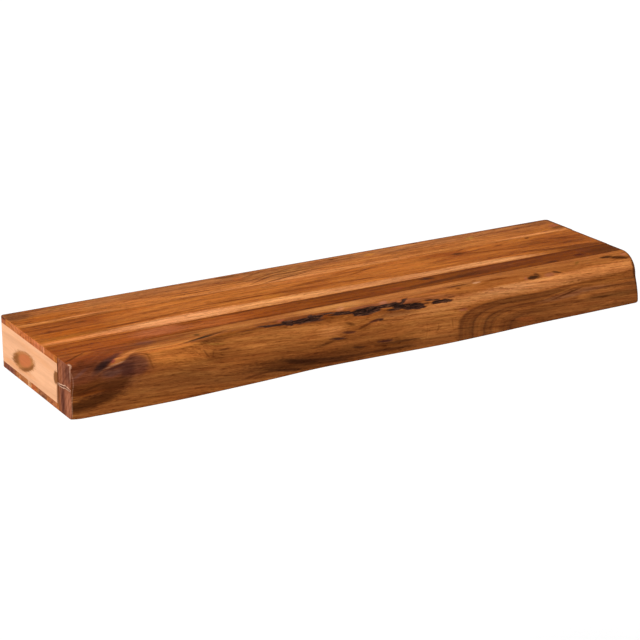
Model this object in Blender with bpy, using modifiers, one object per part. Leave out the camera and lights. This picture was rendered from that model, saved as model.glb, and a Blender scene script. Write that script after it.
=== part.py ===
"""Wall shelf with a live front edge, hung on a hidden steel bracket.

Metres, +Z up, +X to the right for someone who faces the shelf. The wall is the plane y = 0
and the shelf reaches towards -Y. The origin is the middle of the bracket's rear face, which
lies on the wall halfway up the shelf.

The shelf is a hollow box. Three glued staves make its top and three its underside. A solid
board with a natural edge closes the front, a pine cheek closes each end, and a pine rail set
in by the bracket's thickness closes the back. Four bored pine ribs tie the rail to the front
board and slide over the four rods of the bracket.
"""
import math

import bmesh
import bpy
from mathutils import Vector

# Overall size of the shelf
shelf_length = 1.000
shelf_depth = 0.250
shelf_height = 0.080

# Fits
glue_gap = 0.0003
rod_play = 0.0003
dowel_play = 0.0003
cutter_overrun = 0.002

# Top and underside
skin_thickness = 0.010
back_stave_width = 0.070
middle_stave_width = 0.093
arris_round = 0.0015
rear_corner_round_left = 0.005
rear_corner_round_right = 0.008

# Front board and its live edge
front_board_thickness = 0.045
edge_wave = 0.0047
edge_lean = 0.0100
crest_round_height = 0.027
crest_round_width = 0.031
foot_round = 0.003

# Inner frame
cheek_thickness = 0.018
back_rail_thickness = 0.018
rib_width = 0.036
rod_end_room = 0.004

# Glue dowels
dowel_diameter = 0.008
dowel_chamfer = 0.0008
dowel_end_room = 0.001
dowel_depth_in_front_board = 0.015
dowel_depth_in_cheek_end = 0.020
dowel_depth_in_cheek_side = 0.012
dowel_depth_in_back_rail = 0.020
dowel_depth_in_rib = 0.015
dowel_rise = 0.015

# Bracket
bracket_rail_length = 0.880
bracket_rail_height = 0.040
bracket_rail_thickness = 0.005
bracket_rail_round = 0.0010
rod_diameter = 0.012
rod_reach = 0.160
rod_tip_chamfer = 0.0015
rod_spacing = 0.240
spigot_diameter = 0.008
weld_leg = 0.003
weld_room = 0.001
screw_hole_diameter = 0.0065
screw_head_diameter = 0.013
end_screw_margin = 0.020

# Counts
rod_count = 4
round_steps = 24
dowel_steps = 16
corner_steps = 6
edge_stations = 44
crest_steps = 9
face_steps = 6
foot_steps = 3

# The live edge along the shelf, from its left end to its right end. Each row is given at the
# stations below. The wave is a share of edge_wave, the lean of edge_lean and the crest of the
# two crest sizes.
station_shares = (0.0, 0.10, 0.175, 0.238, 0.31, 0.40, 0.50, 0.61, 0.70, 0.80, 0.90, 1.0)
wave_shares = (-0.25, 0.70, 1.0, 0.6, 0.05, -1.0, -0.35, 0.68, 0.45, -0.35, -0.45, -0.6)
lean_shares = (0.0, 0.0, 0.15, 1.35, 0.95, 0.6, 0.3, 0.5, 0.8, 1.0, 1.0, 1.0)
crest_shares = (0.06, 0.08, 0.10, 0.12, 0.15, 0.15, 0.18, 0.50, 0.80, 1.0, 1.0, 1.0)
belly_share = 1.6

# Places that follow from the sizes
half_length = shelf_length / 2
half_height = shelf_height / 2
core_half_height = half_height - skin_thickness - glue_gap
board_back = front_board_thickness - shelf_depth
core_front = board_back + glue_gap
stave_seam_1 = -back_stave_width
stave_seam_2 = stave_seam_1 - middle_stave_width
cheek_inside = half_length - cheek_thickness
back_rail_rear = -bracket_rail_thickness - glue_gap
back_rail_front = back_rail_rear - back_rail_thickness
rib_rear = back_rail_front - glue_gap
rod_radius = rod_diameter / 2
rod_places = [rod_spacing * (index - (rod_count - 1) / 2) for index in range(rod_count)]
rod_bore_end = -bracket_rail_thickness - rod_reach - rod_end_room
end_screw_place = bracket_rail_length / 2 - end_screw_margin
screw_places = (-end_screw_place, -rod_spacing, rod_spacing, end_screw_place)


def clear_scene():
    """Remove the objects of the scene that the script starts in."""
    for old in list(bpy.data.objects):
        bpy.data.objects.remove(old, do_unlink=True)


def make_collection(name):
    """Return a new collection of this name in the scene."""
    collection = bpy.data.collections.new(name)
    bpy.context.scene.collection.children.link(collection)
    return collection


def make_material(name, colour, roughness, metallic=0.0):
    """Return a Principled material with a colour, a roughness and a metallic value."""
    material = bpy.data.materials.new(name)
    material.use_nodes = True
    shader = material.node_tree.nodes["Principled BSDF"]
    shader.inputs["Base Color"].default_value = (*colour, 1.0)
    shader.inputs["Roughness"].default_value = roughness
    shader.inputs["Metallic"].default_value = metallic
    return material


class Workshop:
    """Holds the collections, the two carriers and the materials that every piece shares."""

    def __init__(self):
        self.parts = make_collection("live_edge_wall_shelf")
        self.cutters = make_collection("cutters")
        self.shelf = self.make_carrier("shelf")
        self.bracket = self.make_carrier("wall_bracket")

    def make_carrier(self, name):
        """Return the empty that carries one moving body, on the line that the shelf slides along."""
        carrier = bpy.data.objects.new(name + "_carrier", None)
        self.parts.objects.link(carrier)
        return carrier

    def add_part(self, name, mesh, carrier, look):
        """Return a new piece that has this mesh, its carrier and a material of its own."""
        part = bpy.data.objects.new(name, mesh)
        part.parent = carrier
        self.parts.objects.link(part)
        colour, roughness, metallic = look
        mesh.materials.append(make_material(name, colour, roughness, metallic))
        return part

    def add_cutter(self, name, mesh):
        """Return a new cutter, which is left out of the model."""
        cutter = bpy.data.objects.new(name, mesh)
        cutter.hide_render = True
        cutter.display_type = "WIRE"
        self.cutters.objects.link(cutter)
        return cutter

    def cut(self, part, cutter):
        """Take the cutter's shape out of the part."""
        boolean = part.modifiers.new("cut_" + cutter.name, "BOOLEAN")
        boolean.operation = "DIFFERENCE"
        boolean.solver = "EXACT"
        boolean.object = cutter


# Looks of the plain model: colour, roughness, metallic
golden_wood = ((0.50, 0.22, 0.07), 0.45, 0.0)
brown_wood = ((0.30, 0.11, 0.04), 0.45, 0.0)
pine = ((0.86, 0.58, 0.36), 0.60, 0.0)
beech = ((0.72, 0.50, 0.32), 0.65, 0.0)
steel = ((0.52, 0.53, 0.55), 0.38, 1.0)


def corner_points(corner_x, corner_y, radius, side_x, side_y, start):
    """Return the points of one corner of an outline, as an arc of the radius or one point.

    side_x and side_y say on which side of the outline the corner lies, and start is the angle
    at which the arc begins when the outline runs anticlockwise.
    """
    if radius <= 0:
        return [(corner_x, corner_y)]
    centre_x = corner_x - side_x * radius
    centre_y = corner_y - side_y * radius
    points = []
    for step in range(corner_steps + 1):
        angle = start + step / corner_steps * math.pi / 2
        points.append((centre_x + radius * math.cos(angle), centre_y + radius * math.sin(angle)))
    return points


def board_outline(left, right, front, back, left_rear_round, right_rear_round):
    """Return a board's outline seen from above, anticlockwise, with its rear corners rounded."""
    outline = [(left, front), (right, front)]
    outline += corner_points(right, back, right_rear_round, 1, 1, 0)
    outline += corner_points(left, back, left_rear_round, -1, 1, math.pi / 2)
    return outline


def extruded_outline(outline, low, high):
    """Return a bmesh of the outline, raised from the height low to the height high."""
    solid = bmesh.new()
    floor = solid.faces.new([solid.verts.new((x, y, low)) for x, y in outline])
    raised = bmesh.ops.extrude_face_region(solid, geom=[floor])
    moved = [item for item in raised["geom"] if isinstance(item, bmesh.types.BMVert)]
    bmesh.ops.translate(solid, verts=moved, vec=Vector((0, 0, high - low)))
    bmesh.ops.recalc_face_normals(solid, faces=solid.faces)
    return solid


def weigh_edges(solid, chosen):
    """Give the bevel weight 1 to every edge for which chosen(start, end) is true."""
    weights = solid.edges.layers.float.new("bevel_weight_edge")
    for edge in solid.edges:
        if chosen(edge.verts[0].co, edge.verts[1].co):
            edge[weights] = 1.0


def mesh_from(solid, name):
    """Turn a bmesh into a mesh and free it."""
    mesh = bpy.data.meshes.new(name)
    solid.to_mesh(mesh)
    solid.free()
    return mesh


def round_edges(part, radius, segments, by_weight=True):
    """Round the weighed edges of a part, or else all its sharp ones."""
    bevel = part.modifiers.new("rounding", "BEVEL")
    bevel.width = radius
    bevel.segments = segments
    bevel.limit_method = "WEIGHT" if by_weight else "ANGLE"


def box(low, high):
    """Return a bmesh box between two corners."""
    solid = bmesh.new()
    bmesh.ops.create_cube(solid, size=1)
    size = Vector(high) - Vector(low)
    bmesh.ops.scale(solid, verts=solid.verts, vec=size)
    bmesh.ops.translate(solid, verts=solid.verts, vec=(Vector(high) + Vector(low)) / 2)
    return solid


def rod_mesh(name, radius, length, steps):
    """Return a cylinder along +Z that starts at its origin."""
    solid = bmesh.new()
    bmesh.ops.create_cone(solid, cap_ends=True, segments=steps, radius1=radius, radius2=radius,
                          depth=length)
    bmesh.ops.translate(solid, verts=solid.verts, vec=Vector((0, 0, length / 2)))
    return mesh_from(solid, name)


def point_along(item, place, direction):
    """Stand an object that was made along +Z at a place, pointing in a direction."""
    item.location = place
    item.rotation_euler = Vector(direction).to_track_quat("Z", "Y").to_euler()


def same_place(first, second):
    """Say whether two coordinates are the same, within the precision of a mesh."""
    return math.isclose(first, second, abs_tol=glue_gap / 10)


def add_skin(shop, side, face):
    """Add the three staves of the top (face 1) or of the underside (face -1)."""
    inner = face * (half_height - skin_thickness)
    outer = face * half_height
    staves = (
        ("back", 0.0, stave_seam_1, golden_wood),
        ("middle", stave_seam_1 - glue_gap, stave_seam_2, golden_wood),
        ("front", stave_seam_2 - glue_gap, core_front, brown_wood),
    )
    for place, back, front, look in staves:
        rear_rounds = (0.0, 0.0)
        if place == "back":
            rear_rounds = (rear_corner_round_left, rear_corner_round_right)
        outline = board_outline(-half_length, half_length, front, back, *rear_rounds)
        solid = extruded_outline(outline, min(inner, outer), max(inner, outer))

        def on_outer_arris(start, end, front=front, back=back):
            """Choose the edges of the outer face, apart from those along a glue line."""
            if not (same_place(start.z, outer) and same_place(end.z, outer)):
                return False
            along_front = same_place(start.y, front) and same_place(end.y, front)
            along_back = same_place(start.y, back) and same_place(end.y, back)
            return not along_front and not (along_back and back != 0.0)

        weigh_edges(solid, on_outer_arris)
        name = side + "_stave_" + place
        stave = shop.add_part(name, mesh_from(solid, name), shop.shelf, look)
        round_edges(stave, arris_round, 2)


def value_along(share, shares):
    """Return the smooth curve through a row of the live edge's values at a share of the length."""
    last = len(station_shares) - 1
    span = 0
    while span < last - 1 and share > station_shares[span + 1]:
        span += 1
    start, end = station_shares[span], station_shares[span + 1]
    place = (share - start) / (end - start)
    before, after = max(span - 1, 0), min(span + 2, last)
    slope_in = (shares[span + 1] - shares[before]) / (end - station_shares[before])
    slope_out = (shares[after] - shares[span]) / (station_shares[after] - start)
    width = end - start
    cube, square = place ** 3, place ** 2
    return ((2 * cube - 3 * square + 1) * shares[span] + (cube - 2 * square + place) * width * slope_in
            + (3 * square - 2 * cube) * shares[span + 1] + (cube - square) * width * slope_out)


def edge_section(share, inset):
    """Return the front board's outline at a share of its length, as points (y, z).

    It runs from the foot of the glued face round the front to its top. The face leans back
    the more the higher it is, and ends in the round of the crest. The inset draws the outline
    in, which rounds the board's end.
    """
    reach = shelf_depth + edge_wave * value_along(share, wave_shares) - inset
    lean = edge_lean * value_along(share, lean_shares)
    crest = value_along(share, crest_shares)
    crest_height = crest_round_height * crest
    board_depth = reach - lean + board_back
    crest_width = min(crest_round_width * crest, board_depth - glue_gap)
    bottom = -half_height + inset
    top = half_height - inset
    section = [(board_back, bottom)]
    for step in range(foot_steps + 1):
        angle = step / foot_steps * math.pi / 2
        section.append((-reach + foot_round * (1 - math.sin(angle)),
                        bottom + foot_round * (1 - math.cos(angle))))
    face_foot = bottom + foot_round
    face_height = top - crest_height - face_foot
    for step in range(1, face_steps):
        rise = step / face_steps
        section.append((-reach + lean * rise ** belly_share, face_foot + face_height * rise))
    crest_y = -reach + lean + crest_width
    for step in range(crest_steps + 1):
        angle = step / crest_steps * math.pi / 2
        section.append((crest_y - crest_width * math.cos(angle),
                        top - crest_height * (1 - math.sin(angle))))
    section.append((board_back, top))
    return section


def front_board_solid():
    """Return the front board as a loft of its sections, with a small round at each end."""
    stops = [(step / edge_stations * shelf_length, 0.0) for step in range(1, edge_stations)]
    end_round = [(arris_round * (1 - math.cos(angle)), arris_round * (1 - math.sin(angle)))
                 for angle in (0, math.pi / 4, math.pi / 2)]
    stops = end_round + stops + [(shelf_length - along, inset) for along, inset in reversed(end_round)]
    solid = bmesh.new()
    rings = []
    for along, inset in stops:
        section = edge_section(along / shelf_length, inset)
        rings.append([solid.verts.new((along - half_length, y, z)) for y, z in section])
    for ring, following in zip(rings, rings[1:]):
        for index in range(len(ring)):
            after = (index + 1) % len(ring)
            solid.faces.new((ring[index], ring[after], following[after], following[index]))
    solid.faces.new(rings[0])
    solid.faces.new(rings[-1])
    bmesh.ops.recalc_face_normals(solid, faces=solid.faces)
    return solid


def add_front_board(shop):
    """Add the solid front board whose outer face is the natural edge of the tree."""
    mesh = mesh_from(front_board_solid(), "front_board")
    mesh.shade_smooth()
    mesh.set_sharp_from_angle(angle=math.radians(35))
    return shop.add_part("front_board", mesh, shop.shelf, golden_wood)


def add_cheek(shop, side, face, rear_round):
    """Add the pine cheek that closes the left (face -1) or the right end (face 1)."""
    near = face * cheek_inside
    far = face * half_length
    left_round = rear_round if face < 0 else 0.0
    right_round = rear_round if face > 0 else 0.0
    outline = board_outline(min(near, far), max(near, far), core_front, 0.0, left_round, right_round)
    solid = extruded_outline(outline, -core_half_height, core_half_height)
    name = "end_cheek_" + side
    return shop.add_part(name, mesh_from(solid, name), shop.shelf, pine)


def add_back_rail(shop):
    """Add the pine rail between the cheeks, bored for the rods and their weld beads."""
    end = cheek_inside - glue_gap
    solid = box((-end, back_rail_front, -core_half_height), (end, back_rail_rear, core_half_height))
    rail = shop.add_part("back_rail", mesh_from(solid, "back_rail"), shop.shelf, pine)
    weld_radius = rod_radius + weld_leg + weld_room
    for number, place in enumerate(rod_places, 1):
        bore = rod_mesh(f"rail_bore_{number}", rod_radius + rod_play,
                        back_rail_thickness + 2 * cutter_overrun, round_steps)
        cutter = shop.add_cutter(f"rail_bore_{number}", bore)
        point_along(cutter, (place, back_rail_rear + cutter_overrun, 0), (0, -1, 0))
        shop.cut(rail, cutter)
        sink = rod_mesh(f"rail_sink_{number}", weld_radius, weld_leg + weld_room + cutter_overrun,
                        round_steps)
        cutter = shop.add_cutter(f"rail_sink_{number}", sink)
        point_along(cutter, (place, back_rail_rear + cutter_overrun, 0), (0, -1, 0))
        shop.cut(rail, cutter)
    return rail


def add_ribs(shop):
    """Add the ribs that slide over the rods, one behind each bore of the back rail."""
    ribs = []
    for number, place in enumerate(rod_places, 1):
        solid = box((place - rib_width / 2, core_front, -core_half_height),
                    (place + rib_width / 2, rib_rear, core_half_height))
        name = f"guide_rib_{number}"
        rib = shop.add_part(name, mesh_from(solid, name), shop.shelf, pine)
        bore = rod_mesh(f"rib_bore_{number}", rod_radius + rod_play,
                        rib_rear + cutter_overrun - rod_bore_end, round_steps)
        cutter = shop.add_cutter(f"rib_bore_{number}", bore)
        point_along(cutter, (place, rib_rear + cutter_overrun, 0), (0, -1, 0))
        shop.cut(rib, cutter)
        ribs.append(rib)
    return ribs


def add_dowel(shop, name, seam, direction, first, first_depth, second, second_depth):
    """Add a dowel across a glued joint, and bore both pieces for it.

    seam is the point where the dowel crosses the joint, and direction points from the first
    piece into the second.
    """
    axis = Vector(direction)
    start = Vector(seam) - axis * (first_depth - dowel_end_room)
    length = first_depth + second_depth - 2 * dowel_end_room
    mesh = rod_mesh(name, dowel_diameter / 2, length, dowel_steps)
    dowel = shop.add_part(name, mesh, shop.shelf, beech)
    point_along(dowel, start, axis)
    round_edges(dowel, dowel_chamfer, 1, by_weight=False)
    bore_radius = dowel_diameter / 2 + dowel_play
    bore = rod_mesh("bore_" + name, bore_radius, first_depth + second_depth, dowel_steps)
    cutter = shop.add_cutter("bore_" + name, bore)
    point_along(cutter, Vector(seam) - axis * first_depth, axis)
    shop.cut(first, cutter)
    shop.cut(second, cutter)


def add_dowels(shop, board, cheeks, rail, ribs):
    """Add the dowels of the frame: two at each cheek's ends and one before each rib."""
    rail_middle = (back_rail_rear + back_rail_front) / 2
    for side, face in (("left", -1), ("right", 1)):
        cheek_middle = face * (half_length - cheek_thickness / 2)
        for level, rise in (("upper", dowel_rise), ("lower", -dowel_rise)):
            add_dowel(shop, f"front_dowel_{side}_{level}", (cheek_middle, board_back, rise), (0, 1, 0),
                      board, dowel_depth_in_front_board, cheeks[side], dowel_depth_in_cheek_end)
            add_dowel(shop, f"rear_dowel_{side}_{level}", (face * cheek_inside, rail_middle, rise),
                      (face, 0, 0), rail, dowel_depth_in_back_rail, cheeks[side],
                      dowel_depth_in_cheek_side)
    for number, (place, rib) in enumerate(zip(rod_places, ribs), 1):
        add_dowel(shop, f"rib_dowel_{number}", (place, board_back, 0), (0, 1, 0),
                  board, dowel_depth_in_front_board, rib, dowel_depth_in_rib)


def turned_mesh(name, profile):
    """Return a mesh that holds a turned piece's profile as one line of edges."""
    line = bpy.data.meshes.new(name)
    edges = [(index, index + 1) for index in range(len(profile) - 1)]
    line.from_pydata([(radius, 0, height) for radius, height in profile], edges, [])
    return line


def turn(item):
    """Turn an object's profile about its own Z axis."""
    screw = item.modifiers.new("turning", "SCREW")
    screw.axis = "Z"
    screw.angle = 2 * math.pi
    screw.steps = round_steps
    screw.render_steps = round_steps
    screw.use_merge_vertices = True
    screw.merge_threshold = 0.0001


def screw_hole_profile():
    """Return the profile of a countersunk screw hole, from the rail's front face to its rear."""
    hole = screw_hole_diameter / 2
    head = screw_head_diameter / 2
    sink_end = bracket_rail_thickness - (head - hole)
    return [
        (0, bracket_rail_thickness + cutter_overrun),
        (head + cutter_overrun, bracket_rail_thickness + cutter_overrun),
        (hole, sink_end),
        (hole, -cutter_overrun),
        (0, -cutter_overrun),
    ]


def add_bracket_rail(shop):
    """Add the flat steel bar with its screw holes and the holes for the rods' spigots."""
    half = bracket_rail_length / 2
    rise = bracket_rail_height / 2
    solid = box((-half, -bracket_rail_thickness, -rise), (half, 0, rise))

    def at_bar_end(start, end):
        """Choose the four short edges that run through the bar's thickness."""
        return same_place(start.x, end.x) and same_place(start.z, end.z)

    weigh_edges(solid, at_bar_end)
    rail = shop.add_part("bracket_rail", mesh_from(solid, "bracket_rail"), shop.bracket, steel)
    round_edges(rail, bracket_rail_round, 2)
    for number, place in enumerate(rod_places, 1):
        bore = rod_mesh(f"spigot_bore_{number}", spigot_diameter / 2 + glue_gap,
                        bracket_rail_thickness + 2 * cutter_overrun, round_steps)
        cutter = shop.add_cutter(f"spigot_bore_{number}", bore)
        point_along(cutter, (place, cutter_overrun, 0), (0, -1, 0))
        shop.cut(rail, cutter)
    for number, place in enumerate(screw_places, 1):
        cutter = shop.add_cutter(f"screw_hole_{number}", turned_mesh("screw_hole", screw_hole_profile()))
        turn(cutter)
        point_along(cutter, (place, 0, 0), (0, -1, 0))
        shop.cut(rail, cutter)


def rod_profile():
    """Return a rod's profile, from its tip down to the end of the spigot in the rail.

    The height 0 is the rail's front face. The weld bead is the hollow round between the rod
    and the rail.
    """
    profile = [
        (0, rod_reach),
        (rod_radius - rod_tip_chamfer, rod_reach),
        (rod_radius, rod_reach - rod_tip_chamfer),
    ]
    for step in range(4):
        angle = step / 3 * math.pi / 2
        profile.append((rod_radius + weld_leg * (1 - math.cos(angle)),
                        glue_gap + weld_leg * (1 - math.sin(angle))))
    profile += [
        (spigot_diameter / 2, glue_gap),
        (spigot_diameter / 2, -bracket_rail_thickness),
        (0, -bracket_rail_thickness),
    ]
    return profile


def add_rods(shop):
    """Add the steel rods that carry the shelf."""
    for number, place in enumerate(rod_places, 1):
        name = f"bracket_rod_{number}"
        rod = shop.add_part(name, turned_mesh(name, rod_profile()), shop.bracket, steel)
        turn(rod)
        point_along(rod, (place, -bracket_rail_thickness, 0), (0, -1, 0))


def build_shelf():
    """Build the shelf and its bracket."""
    clear_scene()
    shop = Workshop()
    add_skin(shop, "top", 1)
    add_skin(shop, "bottom", -1)
    board = add_front_board(shop)
    cheeks = {
        "left": add_cheek(shop, "left", -1, rear_corner_round_left),
        "right": add_cheek(shop, "right", 1, rear_corner_round_right),
    }
    rail = add_back_rail(shop)
    ribs = add_ribs(shop)
    add_dowels(shop, board, cheeks, rail, ribs)
    add_bracket_rail(shop)
    add_rods(shop)


build_shelf()
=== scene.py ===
"""Looks of the live-edge wall shelf: its fine boards, rods, finishes, studio and camera.

Places are in metres in the frame of the model: the wall is the plane y = 0, the shelf reaches
towards -Y, and the origin is the middle of the bracket's rear face. The figure of the wood is
laid out in millimetres on the face of each board.
"""
import logging
import math
from collections.abc import Sequence
from dataclasses import KW_ONLY, dataclass, replace
from enum import Enum

import bmesh
import bpy
from mathutils import Matrix, Vector, noise


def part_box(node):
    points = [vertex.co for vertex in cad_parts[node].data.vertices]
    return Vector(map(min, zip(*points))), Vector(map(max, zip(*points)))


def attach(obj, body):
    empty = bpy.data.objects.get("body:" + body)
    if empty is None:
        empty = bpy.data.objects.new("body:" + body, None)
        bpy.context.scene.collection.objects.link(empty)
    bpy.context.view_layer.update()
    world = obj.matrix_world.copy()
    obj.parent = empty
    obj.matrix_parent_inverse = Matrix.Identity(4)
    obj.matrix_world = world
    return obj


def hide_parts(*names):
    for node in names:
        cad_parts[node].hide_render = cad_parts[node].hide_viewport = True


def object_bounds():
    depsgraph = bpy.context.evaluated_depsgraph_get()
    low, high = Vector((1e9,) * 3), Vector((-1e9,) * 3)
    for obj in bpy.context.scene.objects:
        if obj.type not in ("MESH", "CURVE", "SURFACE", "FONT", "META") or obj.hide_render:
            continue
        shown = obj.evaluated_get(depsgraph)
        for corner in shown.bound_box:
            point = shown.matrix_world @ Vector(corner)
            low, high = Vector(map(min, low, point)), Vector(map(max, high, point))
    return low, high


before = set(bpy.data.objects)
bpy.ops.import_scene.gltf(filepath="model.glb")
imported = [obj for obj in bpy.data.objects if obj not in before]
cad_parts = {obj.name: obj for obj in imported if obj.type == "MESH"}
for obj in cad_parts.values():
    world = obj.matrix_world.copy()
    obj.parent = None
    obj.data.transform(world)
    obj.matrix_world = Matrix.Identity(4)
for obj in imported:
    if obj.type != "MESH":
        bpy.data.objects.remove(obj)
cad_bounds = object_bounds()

log = logging.getLogger("wall_shelf")

MM = 0.001
SHELF_DEPTH = 0.250
BOARD_GAP = 0.06 * MM
Socket = bpy.types.NodeSocket
Value = Socket | float | tuple
Colour = tuple[float, float, float]
Point = tuple[float, float, float]
Sockets = dict[str, Socket]
Shares = tuple[float, ...]


class Side(Enum):
    """The two ends of the shelf, as the sign of X."""

    LEFT = -1
    RIGHT = 1


class Face(Enum):
    """The two broad faces of the shelf, as the sign of Z."""

    TOP = 1
    BOTTOM = -1


class Layout(Enum):
    """The measure that a board's figure is laid out against, across its grain."""

    OUT = "Out"
    RISE = "Rise"


class Stain(Enum):
    """Colours that the wood takes apart from its own brown; PALE also paints a highlight on the left front
    arris.
    """

    BARK = (0.022, 0.012, 0.010)
    PLUM = (0.085, 0.024, 0.016)
    PURPLE = (0.215, 0.060, 0.026)
    PINK = (0.720, 0.280, 0.120)
    OLIVE = (0.380, 0.170, 0.030)
    RED = (0.360, 0.085, 0.020)
    MAUVE = (0.330, 0.108, 0.056)
    PALE = (0.780, 0.460, 0.300)
    HEART = (0.570, 0.155, 0.044)
    RIM = (0.420, 0.142, 0.022)
    RIM_SHADE = (0.230, 0.070, 0.008)


class Graph:
    """Builds one shader node tree with short calls."""

    def __init__(self, tree: bpy.types.NodeTree) -> None:
        """Start on an empty tree.

        Args:
            tree: The node tree to fill.
        """
        self.tree = tree
        tree.nodes.clear()

    def add(self, kind: str, **settings: object) -> bpy.types.Node:
        """Add a node.

        Args:
            kind: The node's type without its ShaderNode prefix.
            settings: Properties to set on it.

        Returns:
            The new node.
        """
        node = self.tree.nodes.new("ShaderNode" + kind)
        for name, value in settings.items():
            setattr(node, name, value)
        return node

    def feed(self, socket: Socket, value: Value) -> None:
        """Link an input to an output, or set it to a plain value.

        Args:
            socket: The input.
            value: An output socket, a number, or the numbers of a vector or colour.
        """
        if isinstance(value, Socket):
            self.tree.links.new(value, socket)
        elif isinstance(value, tuple) and socket.type == "RGBA" and len(value) == 3:
            socket.default_value = (*value, 1.0)
        else:
            socket.default_value = value

    def put(self, kind: str, inputs: dict[str | int, Value], **settings: object) -> bpy.types.Node:
        """Add a node and feed its inputs.

        Args:
            kind: The node's type without its ShaderNode prefix.
            inputs: What each input gets, by its name or number.
            settings: Properties to set on the node.

        Returns:
            The new node.
        """
        node = self.add(kind, **settings)
        for key, value in inputs.items():
            self.feed(node.inputs[key], value)
        return node

    def math(self, operation: str, *values: Value) -> Socket:
        """Return the result of a Math node on these values."""
        return self.put("Math", dict(enumerate(values)), operation=operation).outputs[0]

    def blend(self, factor: Value, first: Value, second: Value, kind: str = "MIX") -> Socket:
        """Mix two colours.

        Args:
            factor: The share of the second colour.
            first: The first colour.
            second: The second colour.
            kind: The Mix node's blend type.

        Returns:
            The mixed colour.
        """
        inputs = {0: factor, 6: first, 7: second}
        return self.put("Mix", inputs, data_type="RGBA", blend_type=kind, clamp_factor=True).outputs[2]

    def lerp(self, factor: Value, first: Value, second: Value) -> Socket:
        """Return the number that lies between two numbers at a share of the way."""
        inputs = {0: factor, 2: first, 3: second}
        return self.put("Mix", inputs, data_type="FLOAT", clamp_factor=True).outputs[0]

    def remap(self, value: Value, low: Value, high: Value, to_low: Value = 0.0, to_high: Value = 1.0,
              kind: str = "LINEAR") -> Socket:
        """Map a range of numbers to another, held within it.

        Args:
            value: The number to map.
            low: Where the first range starts.
            high: Where it ends.
            to_low: Where the second range starts.
            to_high: Where it ends.
            kind: LINEAR, or SMOOTHSTEP for soft ends.

        Returns:
            The mapped number.
        """
        inputs = {"Value": value, "From Min": low, "From Max": high, "To Min": to_low, "To Max": to_high}
        return self.put("MapRange", inputs, interpolation_type=kind, clamp=True).outputs["Result"]

    def vector(self, x: Value, y: Value, z: Value) -> Socket:
        """Return a vector of three numbers."""
        return self.put("CombineXYZ", {"X": x, "Y": y, "Z": z}).outputs[0]

    def noise(self, place: Value, detail: float = 2.0, roughness: float = 0.5) -> bpy.types.Node:
        """Return a noise node of scale 1 that reads this place."""
        inputs = {"Vector": place, "Scale": 1.0, "Detail": detail, "Roughness": roughness}
        return self.put("TexNoise", inputs, noise_dimensions="3D")

    def ramp(self, value: Value, stops: Sequence[tuple[float, Colour]]) -> Socket:
        """Read the colour at a number along a row of colour stops.

        Args:
            value: The number, from 0 to 1.
            stops: Each stop's place and colour.

        Returns:
            The colour.
        """
        node = self.put("ValToRGB", {0: value})
        elements = node.color_ramp.elements
        for element, (position, colour) in zip(elements, (stops[0], stops[-1])):
            element.position = position
            element.color = (*colour, 1.0)
        for position, colour in stops[1:-1]:
            elements.new(position).color = (*colour, 1.0)
        return node.outputs[0]

    def use(self, group: bpy.types.NodeTree, **values: Value) -> Sockets:
        """Place a node group.

        Args:
            group: The group's tree.
            values: What each named input gets.

        Returns:
            The group's outputs by name.
        """
        return {socket.name: socket for socket in self.put("Group", values, node_tree=group).outputs}


class GroupGraph(Graph):
    """Builds one node group with named inputs and outputs."""

    def __init__(self, name: str, inputs: dict[str, float | Colour], outputs: dict[str, str]) -> None:
        """Make the group and its sockets.

        Args:
            name: The group's name.
            inputs: Each input's name and default, a number or a colour.
            outputs: Each output's name and its kind, Float or Color.
        """
        super().__init__(bpy.data.node_groups.new(name, "ShaderNodeTree"))
        for label, default in inputs.items():
            kind = "Color" if isinstance(default, tuple) else "Float"
            socket = self.tree.interface.new_socket(label, in_out="INPUT", socket_type="NodeSocket" + kind)
            if kind == "Float":
                socket.default_value = default
        for label, kind in outputs.items():
            self.tree.interface.new_socket(label, in_out="OUTPUT", socket_type="NodeSocket" + kind)
        self.given = self.tree.nodes.new("NodeGroupInput").outputs
        self.result = self.tree.nodes.new("NodeGroupOutput").inputs

    def give(self, name: str, value: Value) -> None:
        """Feed one output of the group."""
        self.feed(self.result[name], value)


def place_group(half_height: float, depth: float) -> bpy.types.NodeTree:
    """Make the group that measures where a point lies on the shelf, in millimetres.

    Args:
        half_height: Half the shelf's height in metres.
        depth: The shelf's depth in metres.

    Returns:
        A group with Right, Out (from the wall), Up, Rise (from the foot of the front round its
        crest to the rear of the front board), and EndFace, 1 where the surface faces along X.
    """
    end_lean_start, end_lean_full = 0.6, 0.8
    names = ("Right", "Out", "Up", "Rise", "EndFace")
    graph = GroupGraph("place_on_shelf", {}, {name: "Float" for name in names})
    where = graph.add("TexCoord")
    split = graph.put("SeparateXYZ", {0: where.outputs["Object"]})
    right = graph.math("MULTIPLY", split.outputs[0], 1 / MM)
    out = graph.math("MULTIPLY", split.outputs[1], -1 / MM)
    up = graph.math("MULTIPLY", split.outputs[2], 1 / MM)
    rise = graph.math("ADD", graph.math("SUBTRACT", up, out), (half_height + depth) / MM)
    facing = graph.put("SeparateXYZ", {0: where.outputs["Normal"]})
    end = graph.remap(graph.math("ABSOLUTE", facing.outputs[0]), end_lean_start, end_lean_full)
    for name, value in zip(names, (right, out, up, rise, end)):
        graph.give(name, value)
    return graph.tree


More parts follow.
